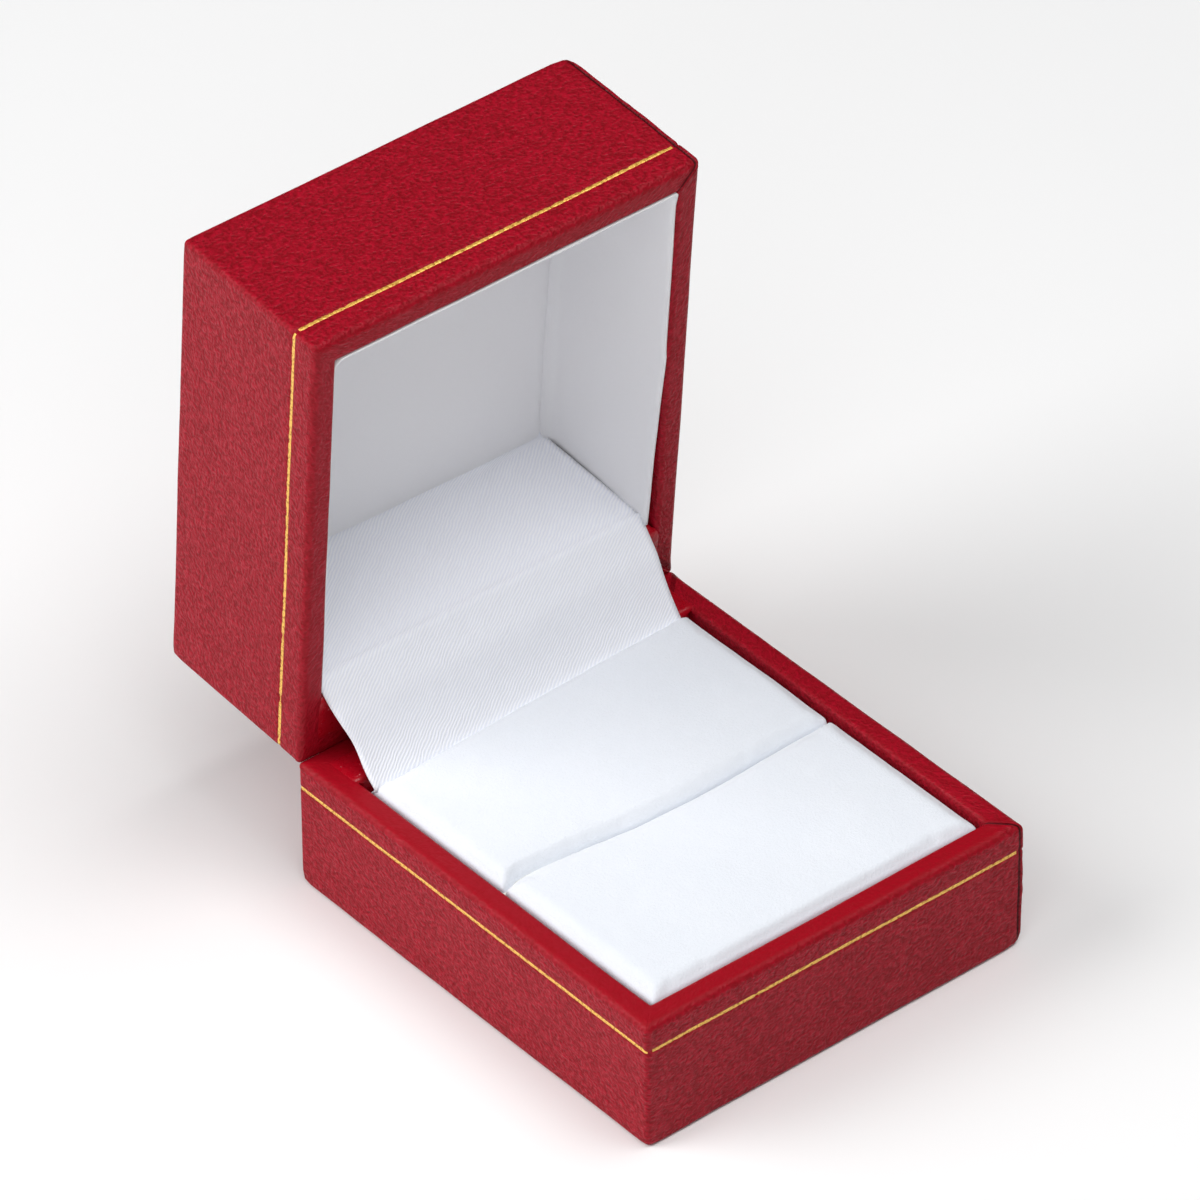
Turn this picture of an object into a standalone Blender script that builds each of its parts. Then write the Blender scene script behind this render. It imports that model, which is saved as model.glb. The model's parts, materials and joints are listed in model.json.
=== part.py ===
"""Hinged ring box: a leatherette-covered base and lid, a concealed snap hinge, and a velvet ring pad.

Frame: metres, +Z up, origin at the centre of the base's underside. The front is at -Y and the hinge
runs along X at the back. The object rests open, as far as the hinge's stop lets the lid go.
Lengths below are written in millimetres and turned into metres where a mesh is made.
"""

import math

import bmesh
import bpy
from mathutils import Matrix, Vector

MM = 0.001

# Driving sizes of the closed box, in millimetres.
WIDTH = 54.0
DEPTH = 60.3
BASE_HEIGHT = 17.0
LID_HEIGHT = 23.15
OPEN_ANGLE = 85.0  # from closed to the hinge's stop, in degrees
RIM_GAP = 0.3  # between the two rims when the box is shut
CLEAR = 0.3  # between parts that touch

# Leatherette wrap and rigid board shell, from the outside in.
CORNER_RADIUS = 0.6
EDGE_RADIUS = 0.6
RIM_RADIUS = 0.9
TIGHT_RADIUS = 0.3  # the least radius of an inner corner
SKIN = 0.7
BOARD = 1.2
FLOOR_BOARD = 1.4
TURN_IN = 0.5
TURN_IN_DEPTH = 10.0
TURN_UNDER = 8.0
INNER_BEVEL = 0.4  # of the wrap's inner edges and the board's outer edges
SHELL_INSET = SKIN + CLEAR
SHELL_INNER = SHELL_INSET + BOARD
TURN_IN_OUTER = SHELL_INNER + CLEAR
WALL = TURN_IN_OUTER + TURN_IN

# Gold foil line, in a shallow crease round each half.
BASE_LINE_DROP = 3.5  # below the base's rim
LID_LINE_DROP = 3.8  # above the lid's rim
CREASE_DEPTH = 0.45
CREASE_HALF_MOUTH = 0.6
CREASE_HALF_FLOOR = 0.35
FOIL_HALF_WIDTH = 0.25
FOIL_THICKNESS = 0.15

# Hinge: a pin along X just inside the rear face, at the height where the rims meet.
PIN_INSET = 0.6
AXIS_Y = DEPTH / 2 - PIN_INSET
AXIS_Z = BASE_HEIGHT + RIM_GAP / 2
PIN_RADIUS = 0.45
KNUCKLE_BORE = 0.7
SHEET = 0.45  # the leaves' sheet steel
KNUCKLE_MIDDLE = KNUCKLE_BORE + SHEET / 2
LEAF_HALF_WIDTH = 16.0
LID_KNUCKLE_HALF = 8.0
NOTCH_HALF_WIDTH = 17.2
NOTCH_DEPTH = 1.4
LEAF_BACK = WALL + CLEAR  # from the rear face to the leaf's plate
LEAF_FOOT = 8.8  # how far the plate reaches from the hinge axis
LEAF_BEND = 0.6
HOOK_REACH = 2.0
TACKS = ((-13.0, 3.6), (-7.5, 6.6), (7.5, 6.6), (13.0, 3.6))  # x, and distance from the hinge axis
TACK_RADIUS = 0.45
TACK_HOLE_RADIUS = 0.75
TACK_HEAD_RADIUS = 1.1
TACK_HEAD_HEIGHT = 0.4
TACK_HEAD_BEVEL = 0.2
TACK_POINT_LENGTH = 0.5
TACK_POINT_RADIUS = 0.12
PIN_OVERHANG = 0.7  # past the outer knuckles
PIN_BEVEL = 0.15

# Smooth rear rails, which close the hinge bay on each side.
RAIL_BOARD = 0.6
BASE_RAIL_FRONT = 7.2  # from the rear face to the front of the rail's upright
LID_RAIL_FRONT = 8.5
BASE_RAIL_EASE = 0.5  # bevel that the satin flap bends over
LID_RAIL_EASE = 1.1
RAIL_SINK = 0.2
SPRING_WINDOW_HALF = 4.5

# Ring pad.
PAD_HALF_WIDTH = WIDTH / 2 - WALL - 0.35
PAD_FRONT = -(DEPTH / 2 - WALL - CLEAR)
PAD_REAR = 21.9
PAD_TOP = 16.5
PAD_BOTTOM = 2.8
PAD_EDGE_RADIUS = 1.6
FOAM_EDGE_RADIUS = 1.4
FOAM_SIDE_INSET = 0.4
VELVET = 0.5
SLOT_Y = -3.0
SLOT_HALF_GAP = 0.2
SLOT_BOTTOM = 7.0
SLOT_LIP_RADIUS = 1.0
PAD_CARD = 0.4

# Lining of the lid.
LINER_BOARD = 0.5
LINER_RECESS = 0.6  # from the lid's rim to the liner's edge
REAR_LINER_RECESS = 2.3
PUFF_COVER = 0.4
PUFF_FOAM = 0.6
FLAP_THICKNESS = 0.4
FLAP_HALF_WIDTH = 22.9
FLAP_TAIL = 8.0  # the satin flap reaches down behind the pad to this height
FLAP_END = (9.8, 2.1)  # where it meets the lining: from the lid's rear face, and above the hinge axis
FLAP_FOLD = 0.8  # below the base's rim, where the flap leaves the pad
FLAP_LEAN = 0.25  # how far it has leaned back at the rim

SPRING_HALF_WIDTH = 3.0
SPRING_SHEET = 0.4
SPRING_BEND = 0.5
SPRING_LIP = 1.2  # how far the spring's ends reach behind the hooks' edges
SPRING_BOW_START = 3.2  # from the hinge axis

ARC_STEPS = 4
ALONG_X = Matrix.Rotation(math.radians(90), 3, "Y")
ALONG_Y = Matrix.Rotation(math.radians(-90), 3, "X")


# ---------------------------------------------------------------- materials


def material(name, colour, roughness, metallic=0.0):
    made = bpy.data.materials.get(name) or bpy.data.materials.new(name)
    made.use_nodes = True
    shader = made.node_tree.nodes["Principled BSDF"]
    shader.inputs["Base Color"].default_value = (*colour, 1.0)
    shader.inputs["Roughness"].default_value = roughness
    shader.inputs["Metallic"].default_value = metallic
    return made


def leatherette():
    return material("red_leatherette", (0.46, 0.012, 0.022), 0.42)


def smooth_red_paper():
    return material("smooth_red_paper", (0.38, 0.006, 0.014), 0.38)


def gold_foil():
    return material("gold_foil", (0.90, 0.58, 0.14), 0.30, 1.0)


def white_satin():
    return material("white_satin", (0.84, 0.84, 0.87), 0.36)


def white_velvet():
    return material("white_velvet", (0.86, 0.88, 0.92), 0.95)


def grey_board():
    return material("grey_board", (0.50, 0.46, 0.40), 0.85)


def white_card():
    return material("white_card", (0.80, 0.79, 0.76), 0.80)


def foam():
    return material("foam", (0.86, 0.85, 0.78), 0.98)


def plated_steel():
    return material("plated_steel", (0.62, 0.61, 0.58), 0.30, 1.0)


def spring_steel():
    return material("spring_steel", (0.36, 0.36, 0.38), 0.34, 1.0)


# ---------------------------------------------------------------- mesh helpers


def add_object(name, mesh, finish, parent):
    """Turns a finished bmesh, in millimetres, into an object with its faces pointing out."""
    bmesh.ops.recalc_face_normals(mesh, faces=mesh.faces)
    bmesh.ops.scale(mesh, vec=(MM, MM, MM), verts=mesh.verts)
    data = bpy.data.meshes.new(name)
    mesh.to_mesh(data)
    mesh.free()
    data.shade_smooth()
    data.set_sharp_from_angle(angle=math.radians(35))
    made = bpy.data.objects.new(name, data)
    bpy.context.scene.collection.objects.link(made)
    if finish is None:  # a cutter
        made.hide_render = True
        made.display_type = "WIRE"
    else:
        data.materials.append(finish)
    made.parent = parent
    return made


def arc(centre, radius, start, end, steps=ARC_STEPS):
    """Points on an arc between two angles in degrees, both ends included."""
    angles = [math.radians(start + (end - start) * i / steps) for i in range(steps + 1)]
    return [(centre[0] + radius * math.cos(a), centre[1] + radius * math.sin(a)) for a in angles]


def rounded_rectangle(inset):
    """The box's outline, drawn in from its outer faces by inset, as (x, y) about its middle."""
    half_x, half_y = WIDTH / 2 - inset, DEPTH / 2 - inset
    radius = max(CORNER_RADIUS - inset, TIGHT_RADIUS)
    corners = ((1, 1, 0), (-1, 1, 90), (-1, -1, 180), (1, -1, 270))
    outline = []
    for side_x, side_y, angle in corners:
        centre = (side_x * (half_x - radius), side_y * (half_y - radius))
        outline += arc(centre, radius, angle, angle + 90)
    return outline


def loft(name, sections, finish, parent, middle_y=0.0, closed=False):
    """Skins rounded rectangles, one for each (inset, z) in sections.

    closed joins the last section to the first, for a band. Otherwise both ends get a flat face.
    """
    mesh = bmesh.new()
    loops = [
        [mesh.verts.new((x, y + middle_y, z)) for x, y in rounded_rectangle(inset)]
        for inset, z in sections
    ]
    pairs = list(zip(loops, loops[1:]))
    if closed:
        pairs.append((loops[-1], loops[0]))
    else:
        mesh.faces.new(loops[0])
        mesh.faces.new(loops[-1])
    for lower, upper in pairs:
        for i in range(len(lower)):
            j = (i + 1) % len(lower)
            mesh.faces.new((lower[i], lower[j], upper[j], upper[i]))
    return add_object(name, mesh, finish, parent)


def extruded(name, outline, half_width, finish, parent, middle_x=0.0):
    """Extrudes an outline of (y, z) points along X, to half_width each side of middle_x."""
    mesh = bmesh.new()
    low_x = middle_x - half_width
    face = mesh.faces.new([mesh.verts.new((low_x, y, z)) for y, z in outline])
    swept = bmesh.ops.extrude_face_region(mesh, geom=[face])
    moved = [v for v in swept["geom"] if isinstance(v, bmesh.types.BMVert)]
    bmesh.ops.translate(mesh, vec=(2 * half_width, 0, 0), verts=moved)
    return add_object(name, mesh, finish, parent)


def ribbon(path, thickness):
    """The outline of a bent sheet whose middle follows path, a list of (y, z) points."""
    points = [Vector(p) for p in path]
    steps = [(b - a).normalized() for a, b in zip(points, points[1:])]
    sides = []
    for i, point in enumerate(points):
        before, after = steps[max(i - 1, 0)], steps[min(i, len(steps) - 1)]
        normal = Vector((-before.y - after.y, before.x + after.x)).normalized()
        reach = thickness / 2 / max(normal.dot(Vector((-after.y, after.x))), 0.5)
        sides.append((point + normal * reach, point - normal * reach))
    return [tuple(left) for left, _ in sides] + [tuple(right) for _, right in reversed(sides)]


def add_box(mesh, low, high):
    """Adds an axis-aligned box to a bmesh."""
    size = Vector(high) - Vector(low)
    made = bmesh.ops.create_cube(mesh, size=1.0)
    bmesh.ops.scale(mesh, vec=size, verts=made["verts"])
    bmesh.ops.translate(mesh, vec=(Vector(low) + Vector(high)) / 2, verts=made["verts"])


def boxes(name, corners, finish, parent):
    """One object of separate boxes, each given by its two opposite corners."""
    mesh = bmesh.new()
    for low, high in corners:
        add_box(mesh, low, high)
    return add_object(name, mesh, finish, parent)


def add_turned(mesh, outline, turn, centre, segments=12):
    """Adds a solid turned about Z from (along, radius) points, then turned by a matrix and moved."""
    rings = []
    for along, radius in outline:
        ring = []
        for i in range(segments):
            a = 2 * math.pi * i / segments
            point = turn @ Vector((radius * math.cos(a), radius * math.sin(a), along))
            ring.append(mesh.verts.new(point + Vector(centre)))
        rings.append(ring)
    for near, far in zip(rings, rings[1:]):
        for i in range(segments):
            j = (i + 1) % segments
            mesh.faces.new((near[i], near[j], far[j], far[i]))
    mesh.faces.new(rings[0])
    mesh.faces.new(rings[-1])


def cut(target, cutter):
    modifier = target.modifiers.new("cut_" + cutter.name, "BOOLEAN")
    modifier.operation = "DIFFERENCE"
    modifier.solver = "EXACT"
    modifier.object = cutter


# ---------------------------------------------------------------- shells and wraps
# A half is drawn with its rim at height rim and its closed side at height back; up is +1 where the
# closed side is above the rim (the lid) and -1 where it is below (the base).


def crease(line, up):
    """The shallow crease that the gold line lies in, from its rim side to its closed side."""
    return [
        (0.0, line - up * CREASE_HALF_MOUTH),
        (CREASE_DEPTH, line - up * CREASE_HALF_FLOOR),
        (CREASE_DEPTH, line + up * CREASE_HALF_FLOOR),
        (0.0, line + up * CREASE_HALF_MOUTH),
    ]


def rounded_edge(inset, height, radius, up, towards_rim):
    """Quarter-round from the outer face onto the rim or onto the closed side."""
    centre = (inset + radius, height)
    toward = -up if towards_rim else up
    return [(y, centre[1] + toward * (z - centre[1])) for y, z in arc(centre, radius, 180, 90)]


def turned_in_edge(rim, up):
    """The wrap over the rim, from the outer face to the inner side of the skin behind it."""
    inner_edge = arc((WALL - TURN_IN, 0.0), TURN_IN, 90, 0, 3)
    return [
        *rounded_edge(0.0, rim + up * RIM_RADIUS, RIM_RADIUS, up, True),
        *[(y, rim + up * (TURN_IN - z)) for y, z in inner_edge],
        (WALL, rim + up * TURN_IN_DEPTH),
        (TURN_IN_OUTER, rim + up * TURN_IN_DEPTH),
        (TURN_IN_OUTER, rim + up * SKIN),
        (SKIN + INNER_BEVEL, rim + up * SKIN),
        (SKIN, rim + up * (SKIN + INNER_BEVEL)),
    ]


def shell_sections(rim, back, up):
    """Board tray: closed side, outer faces, rim, inner faces and floor."""
    outer_rim = rim + up * SHELL_INSET
    outer_back = back - up * SHELL_INSET
    return [
        (SHELL_INSET + INNER_BEVEL, outer_back),
        (SHELL_INSET, outer_back - up * INNER_BEVEL),
        (SHELL_INSET, outer_rim + up * INNER_BEVEL),
        (SHELL_INSET + INNER_BEVEL, outer_rim),
        (SHELL_INNER, outer_rim),
        (SHELL_INNER, outer_back - up * FLOOR_BOARD),
    ]


def foil_sections(line):
    return [
        (0.0, line - FOIL_HALF_WIDTH),
        (0.0, line + FOIL_HALF_WIDTH),
        (FOIL_THICKNESS, line + FOIL_HALF_WIDTH),
        (FOIL_THICKNESS, line - FOIL_HALF_WIDTH),
    ]


def base_wrap_sections():
    """The base's wrap ends in a margin turned under the board."""
    margin = TURN_UNDER
    return [
        (margin, 0.0),
        *reversed(rounded_edge(0.0, EDGE_RADIUS, EDGE_RADIUS, -1, False)),
        *reversed(crease(BASE_HEIGHT - BASE_LINE_DROP, -1)),
        *turned_in_edge(BASE_HEIGHT, -1),
        (SKIN, SKIN + INNER_BEVEL),
        (SKIN + INNER_BEVEL, SKIN),
        (margin, SKIN),
    ]


def lid_wrap_sections(rim, back):
    """The lid's wrap covers its whole top."""
    return [
        *reversed(rounded_edge(0.0, back - EDGE_RADIUS, EDGE_RADIUS, 1, False)),
        *reversed(crease(rim + LID_LINE_DROP, 1)),
        *turned_in_edge(rim, 1),
        (SKIN, back - SKIN - INNER_BEVEL),
        (SKIN + INNER_BEVEL, back - SKIN),
    ]


# ---------------------------------------------------------------- hinge
# Hinge parts are drawn as the base's half, about the hinge axis: y towards the back, z up. The lid's
# half is the same shape turned over in z, which is where it lies when the box is shut.


def leaf_path():
    """Rolled knuckle, a short step inwards, the plate against the wall, and the spring's hook."""
    shelf = -KNUCKLE_MIDDLE
    plate = PIN_INSET - LEAF_BACK - SHEET / 2
    bend = LEAF_BEND
    foot = -LEAF_FOOT
    knuckle = arc((0, 0), KNUCKLE_MIDDLE, 200, -90, 14)
    return [
        *knuckle,
        *arc((plate + bend, shelf - bend), bend, 90, 180, 3),
        *arc((plate - bend, foot + bend), bend, 0, -90, 3),
        (plate - HOOK_REACH, foot),
    ]


def place_about_axis(outline, flip):
    """Moves a (y, z) outline from the hinge axis to the base's frame, or turns it over for the lid."""
    if flip:
        return [(y, -z) for y, z in outline]
    return [(AXIS_Y + y, AXIS_Z + z) for y, z in outline]


def hinge_leaf(name, flip, gaps, parent):
    """A leaf, with its knuckle cut away over gaps, the x ranges that the other leaf's knuckle takes."""
    outline = place_about_axis(ribbon(leaf_path(), SHEET), flip)
    leaf = extruded(name, outline, LEAF_HALF_WIDTH, plated_steel(), parent)
    middle = (0, 0) if flip else (AXIS_Y, AXIS_Z)
    reach = 2.0
    corners = [
        ((low, middle[0] - reach, middle[1] - reach), (high, middle[0] + reach, middle[1] + reach))
        for low, high in gaps
    ]
    cut(leaf, boxes(name + "_knuckle_cutter", corners, None, parent))
    return leaf


def tack_places(flip):
    """Where each tack's axis crosses the hinge's own y = 0, in its half's frame."""
    for x, drop in TACKS:
        yield (x, 0.0, drop) if flip else (x, AXIS_Y, AXIS_Z - drop)


def tack_hole_cutter(name, flip, parent):
    """Cutters that pass through the leaf, the turned-in wrap and the board."""
    start = PIN_INSET - LEAF_BACK - SHEET - 1.0
    end = PIN_INSET - SHELL_INSET + 0.1
    hole = [(start, TACK_HOLE_RADIUS), (end, TACK_HOLE_RADIUS)]
    mesh = bmesh.new()
    for place in tack_places(flip):
        add_turned(mesh, hole, ALONG_Y, place)
    return add_object(name, mesh, None, parent)


def hinge_tacks(half_name, flip, parent):
    """Round-headed tacks through the leaf into the board."""
    head_seat = PIN_INSET - LEAF_BACK - SHEET - CLEAR
    head_top = head_seat - TACK_HEAD_HEIGHT
    tip = PIN_INSET - SHELL_INSET - CLEAR
    tack = [
        (head_top, TACK_HEAD_RADIUS - 2 * TACK_HEAD_BEVEL),
        (head_top + TACK_HEAD_BEVEL, TACK_HEAD_RADIUS),
        (head_seat, TACK_HEAD_RADIUS),
        (head_seat, TACK_RADIUS),
        (tip - TACK_POINT_LENGTH, TACK_RADIUS),
        (tip, TACK_POINT_RADIUS),
    ]
    for number, place in enumerate(tack_places(flip), start=1):
        mesh = bmesh.new()
        add_turned(mesh, tack, ALONG_Y, place)
        add_object(f"{half_name}_hinge_tack_{number}", mesh, plated_steel(), parent)


def hinge_pin(parent):
    """The pin stays in the base's outer knuckles. Its ends are rounded over."""
    end = LEAF_HALF_WIDTH + PIN_OVERHANG
    pin = [
        (-end, PIN_RADIUS - PIN_BEVEL),
        (-end + PIN_BEVEL, PIN_RADIUS),
        (end - PIN_BEVEL, PIN_RADIUS),
        (end, PIN_RADIUS - PIN_BEVEL),
    ]
    mesh = bmesh.new()
    add_turned(mesh, pin, ALONG_X, (0, AXIS_Y, AXIS_Z), 20)
    return add_object("hinge_pin", mesh, plated_steel(), parent)


def opened(point):
    """A point about the hinge axis, given as it lies with the box shut, when the lid stands open."""
    a = math.radians(-OPEN_ANGLE)
    y, z = point
    return (y * math.cos(a) - z * math.sin(a), y * math.sin(a) + z * math.cos(a))


def hinge_spring(parent):
    """Bow spring from hook to hook. Its ends pass round the hooks' edges and grip them from behind."""
    hook_tip = PIN_INSET - LEAF_BACK - SHEET / 2 - HOOK_REACH
    limb = hook_tip - CLEAR - SPRING_SHEET / 2
    under = -LEAF_FOOT - SHEET / 2 - CLEAR - SPRING_SHEET / 2
    bend = SPRING_BEND
    half = [
        (hook_tip + SPRING_LIP, under),
        *arc((limb + bend, under + bend), bend, 270, 180, 3),
        (limb, -SPRING_BOW_START),
    ]
    other_half = [opened((y, -z)) for y, z in reversed(half)]
    half_turn = math.radians(OPEN_ANGLE / 2)
    start, end = Vector(half[-1]), Vector(other_half[0])
    radius = (end - start).length / 2 / math.sin(half_turn)
    centre = (start.x + radius, start.y)
    bow = arc(centre, radius, 180, 180 - OPEN_ANGLE, 10)[1:-1]
    path = half + bow + other_half
    outline = place_about_axis(ribbon(path, SPRING_SHEET), False)
    return extruded("hinge_spring", outline, SPRING_HALF_WIDTH, spring_steel(), parent)


# ---------------------------------------------------------------- linings


def hinge_rail(name, rim, up, rail_front, ease, length, middle_y, parent):
    """An L of card: a cover flush with the rim, and an upright that closes the hinge bay in front."""
    rear = middle_y + DEPTH / 2
    top = rim + up * RAIL_SINK
    back, front = rear - WALL - CLEAR, rear - rail_front
    inner_ease = ease - RAIL_BOARD * (2 - math.sqrt(2))
    outline = [
        (back, top),
        (front + ease, top),
        (front, top + up * ease),
        (front, top + up * length),
        (front + RAIL_BOARD, top + up * length),
        (front + RAIL_BOARD, top + up * (RAIL_BOARD + inner_ease)),
        (front + RAIL_BOARD + inner_ease, top + up * RAIL_BOARD),
        (back, top + up * RAIL_BOARD),
    ]
    rail = extruded(name, outline, PAD_HALF_WIDTH, smooth_red_paper(), parent)
    leaf_room = rear - LEAF_BACK - SHEET - CLEAR
    low, high = sorted((rim - up * 1.0, rim + up * 1.2))
    corners = [
        ((-NOTCH_HALF_WIDTH, leaf_room, low), (NOTCH_HALF_WIDTH, rear, high)),
        ((-SPRING_WINDOW_HALF, front + RAIL_BOARD + 0.05, low), (SPRING_WINDOW_HALF, rear - 4, high)),
    ]
    for i, pair in enumerate(corners):
        cut(rail, boxes(f"{name}_cutter_{i}", [pair], None, parent))
    return rail


def hinge_notch(name, rim, up, middle_y, parent):
    """Cutter for the notch that lets the knuckles and the leaf through the rear wall's rim."""
    rear = middle_y + DEPTH / 2
    low, high = sorted((rim - up * 2.0, rim + up * NOTCH_DEPTH))
    corners = [((-NOTCH_HALF_WIDTH, rear - WALL - 0.2, low), (NOTCH_HALF_WIDTH, rear + 2, high))]
    return boxes(name, corners, None, parent)


def slotted_velvet_path():
    """The velvet's middle line: up the front, over the top, down into the slot and out, and down."""
    front, rear = PAD_FRONT + VELVET / 2, PAD_REAR - VELVET / 2
    top = PAD_TOP - VELVET / 2
    edge = PAD_EDGE_RADIUS
    slot = SLOT_HALF_GAP + VELVET / 2
    lip = SLOT_LIP_RADIUS
    fold = arc((SLOT_Y, SLOT_BOTTOM), slot, 180, 360, 4)
    return [
        (front, PAD_BOTTOM),
        *arc((front + edge, top - edge), edge, 180, 90),
        *arc((SLOT_Y - slot - lip, top - lip), lip, 90, 0, 3),
        *fold,
        *arc((SLOT_Y + slot + lip, top - lip), lip, 180, 90, 3),
        *arc((rear - edge, top - edge), edge, 90, 0),
        (rear, PAD_BOTTOM),
    ]


def foam_block(name, front, rear, parent):
    """A pad's foam, its long top edges eased."""
    low = PAD_BOTTOM + CLEAR + PAD_CARD + CLEAR
    top = PAD_TOP - VELVET - CLEAR
    ease = FOAM_EDGE_RADIUS
    outline = [
        (front, low),
        *arc((front + ease, top - ease), ease, 180, 90, 3),
        *arc((rear - ease, top - ease), ease, 90, 0, 3),
        (rear, low),
    ]
    return extruded(name, outline, PAD_HALF_WIDTH - FOAM_SIDE_INSET, foam(), parent)


def ring_pad(parent):
    extruded("pad_velvet", ribbon(slotted_velvet_path(), VELVET), PAD_HALF_WIDTH, white_velvet(), parent)
    inside = VELVET + CLEAR
    slot_side = SLOT_HALF_GAP + VELVET + CLEAR
    foam_block("pad_foam_front", PAD_FRONT + inside, SLOT_Y - slot_side, parent)
    foam_block("pad_foam_rear", SLOT_Y + slot_side, PAD_REAR - inside, parent)
    half = PAD_HALF_WIDTH - FOAM_SIDE_INSET
    card_box = ((-half, PAD_FRONT + inside, PAD_BOTTOM), (half, PAD_REAR - inside, PAD_BOTTOM + PAD_CARD))
    boxes("pad_card", [card_box], white_card(), parent)


def satin_flap(parent):
    """The strip that hides the hinge: from behind the pad up to the lid's lining, taut when open."""
    tail_y = PAD_REAR + CLEAR + FLAP_THICKNESS / 2
    lid_end = opened((PIN_INSET - FLAP_END[0], FLAP_END[1]))
    path = [
        (tail_y, FLAP_TAIL),
        (tail_y, BASE_HEIGHT - FLAP_FOLD),
        (tail_y + FLAP_LEAN, BASE_HEIGHT),
        (AXIS_Y + lid_end[0], AXIS_Z + lid_end[1]),
    ]
    outline = ribbon(path, FLAP_THICKNESS)
    return extruded("hinge_flap", outline, FLAP_HALF_WIDTH, white_satin(), parent)


def lid_lining(rim, back, middle_y, parent):
    """Card walls on three sides, a satin-faced card over the hinge bay, and a padded top."""
    rear, front = middle_y + DEPTH / 2, middle_y - DEPTH / 2
    ceiling = back - SHELL_INSET - FLOOR_BOARD
    outer_x, inner_x = WIDTH / 2 - WALL - CLEAR, WIDTH / 2 - WALL - CLEAR - LINER_BOARD
    outer_y = front + WALL + CLEAR
    legs_y = rear - LID_RAIL_FRONT - CLEAR
    low, high = rim + LINER_RECESS, ceiling - CLEAR

    plan = [
        (-outer_x, legs_y),
        (-outer_x, outer_y),
        (outer_x, outer_y),
        (outer_x, legs_y),
        (inner_x, legs_y),
        (inner_x, outer_y + LINER_BOARD),
        (-inner_x, outer_y + LINER_BOARD),
        (-inner_x, legs_y),
    ]
    mesh = bmesh.new()
    face = mesh.faces.new([mesh.verts.new((x, y, low)) for x, y in plan])
    swept = bmesh.ops.extrude_face_region(mesh, geom=[face])
    moved = [v for v in swept["geom"] if isinstance(v, bmesh.types.BMVert)]
    bmesh.ops.translate(mesh, vec=(0, 0, high - low), verts=moved)
    add_object("lid_liner_walls", mesh, white_satin(), parent)

    half = inner_x - CLEAR
    puff_top = ceiling - CLEAR
    puff_front = outer_y + LINER_BOARD + CLEAR
    card_front = legs_y - LINER_BOARD
    foam_low = puff_top - PUFF_FOAM
    cover_high = foam_low - CLEAR
    cover_low = cover_high - PUFF_COVER
    rear_low = rim + REAR_LINER_RECESS
    rear_card = ((-half, card_front, rear_low), (half, legs_y, cover_low - CLEAR))
    boxes("lid_liner_rear", [rear_card], white_satin(), parent)
    foam_box = ((-half, puff_front, foam_low), (half, legs_y, puff_top))
    boxes("lid_puff_foam", [foam_box], foam(), parent)
    cover_box = ((-half, puff_front, cover_low), (half, legs_y, cover_high))
    boxes("lid_puff_satin", [cover_box], white_satin(), parent)


# ---------------------------------------------------------------- assembly


def build_base():
    base = bpy.data.objects.new("base_frame", None)
    bpy.context.scene.collection.objects.link(base)

    shell = loft("base_shell", shell_sections(BASE_HEIGHT, 0.0, -1), grey_board(), base)
    wrap = loft("base_wrap", base_wrap_sections(), leatherette(), base, closed=True)
    line = BASE_HEIGHT - BASE_LINE_DROP
    loft("base_gold_line", foil_sections(line), gold_foil(), base, closed=True)
    sheet_inset = TURN_UNDER + CLEAR
    loft("base_underside", [(sheet_inset, 0.0), (sheet_inset, SKIN)], smooth_red_paper(), base)

    rail_length = BASE_HEIGHT - RAIL_SINK - SHELL_INSET - FLOOR_BOARD - CLEAR
    hinge_rail(
        "base_hinge_rail", BASE_HEIGHT, -1, BASE_RAIL_FRONT, BASE_RAIL_EASE, rail_length, 0.0, base
    )
    ring_pad(base)
    satin_flap(base)

    lid_knuckle = [(-LID_KNUCKLE_HALF - CLEAR, LID_KNUCKLE_HALF + CLEAR)]
    leaf = hinge_leaf("base_hinge_leaf", False, lid_knuckle, base)
    hinge_tacks("base", False, base)
    hinge_pin(base)
    hinge_spring(base)

    notch = hinge_notch("base_notch_cutter", BASE_HEIGHT, -1, 0.0, base)
    holes = tack_hole_cutter("base_tack_hole_cutter", False, base)
    for target in (shell, wrap):
        cut(target, notch)
        cut(target, holes)
    cut(leaf, holes)


def build_lid():
    """The lid is drawn shut, about the hinge axis, and then stands open with its parent."""
    lid = bpy.data.objects.new("lid_pivot", None)
    bpy.context.scene.collection.objects.link(lid)
    rim, back = RIM_GAP / 2, RIM_GAP / 2 + LID_HEIGHT
    middle_y = PIN_INSET - DEPTH / 2

    shell = loft("lid_shell", shell_sections(rim, back, 1), grey_board(), lid, middle_y)
    wrap = loft("lid_wrap", lid_wrap_sections(rim, back), leatherette(), lid, middle_y)
    line = rim + LID_LINE_DROP
    loft("lid_gold_line", foil_sections(line), gold_foil(), lid, middle_y, closed=True)

    rail_length = LID_HEIGHT - SHELL_INSET - FLOOR_BOARD - CLEAR - RAIL_SINK
    hinge_rail(
        "lid_hinge_rail", rim, 1, LID_RAIL_FRONT, LID_RAIL_EASE, rail_length, middle_y, lid
    )
    lid_lining(rim, back, middle_y, lid)

    edge = LEAF_HALF_WIDTH + 1.0
    base_knuckles = [(-edge, -LID_KNUCKLE_HALF), (LID_KNUCKLE_HALF, edge)]
    leaf = hinge_leaf("lid_hinge_leaf", True, base_knuckles, lid)
    hinge_tacks("lid", True, lid)

    notch = hinge_notch("lid_notch_cutter", rim, 1, middle_y, lid)
    holes = tack_hole_cutter("lid_tack_hole_cutter", True, lid)
    for target in (shell, wrap):
        cut(target, notch)
        cut(target, holes)
    cut(leaf, holes)

    lid.location = (0, AXIS_Y * MM, AXIS_Z * MM)
    lid.rotation_euler = (math.radians(-OPEN_ANGLE), 0, 0)


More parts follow.
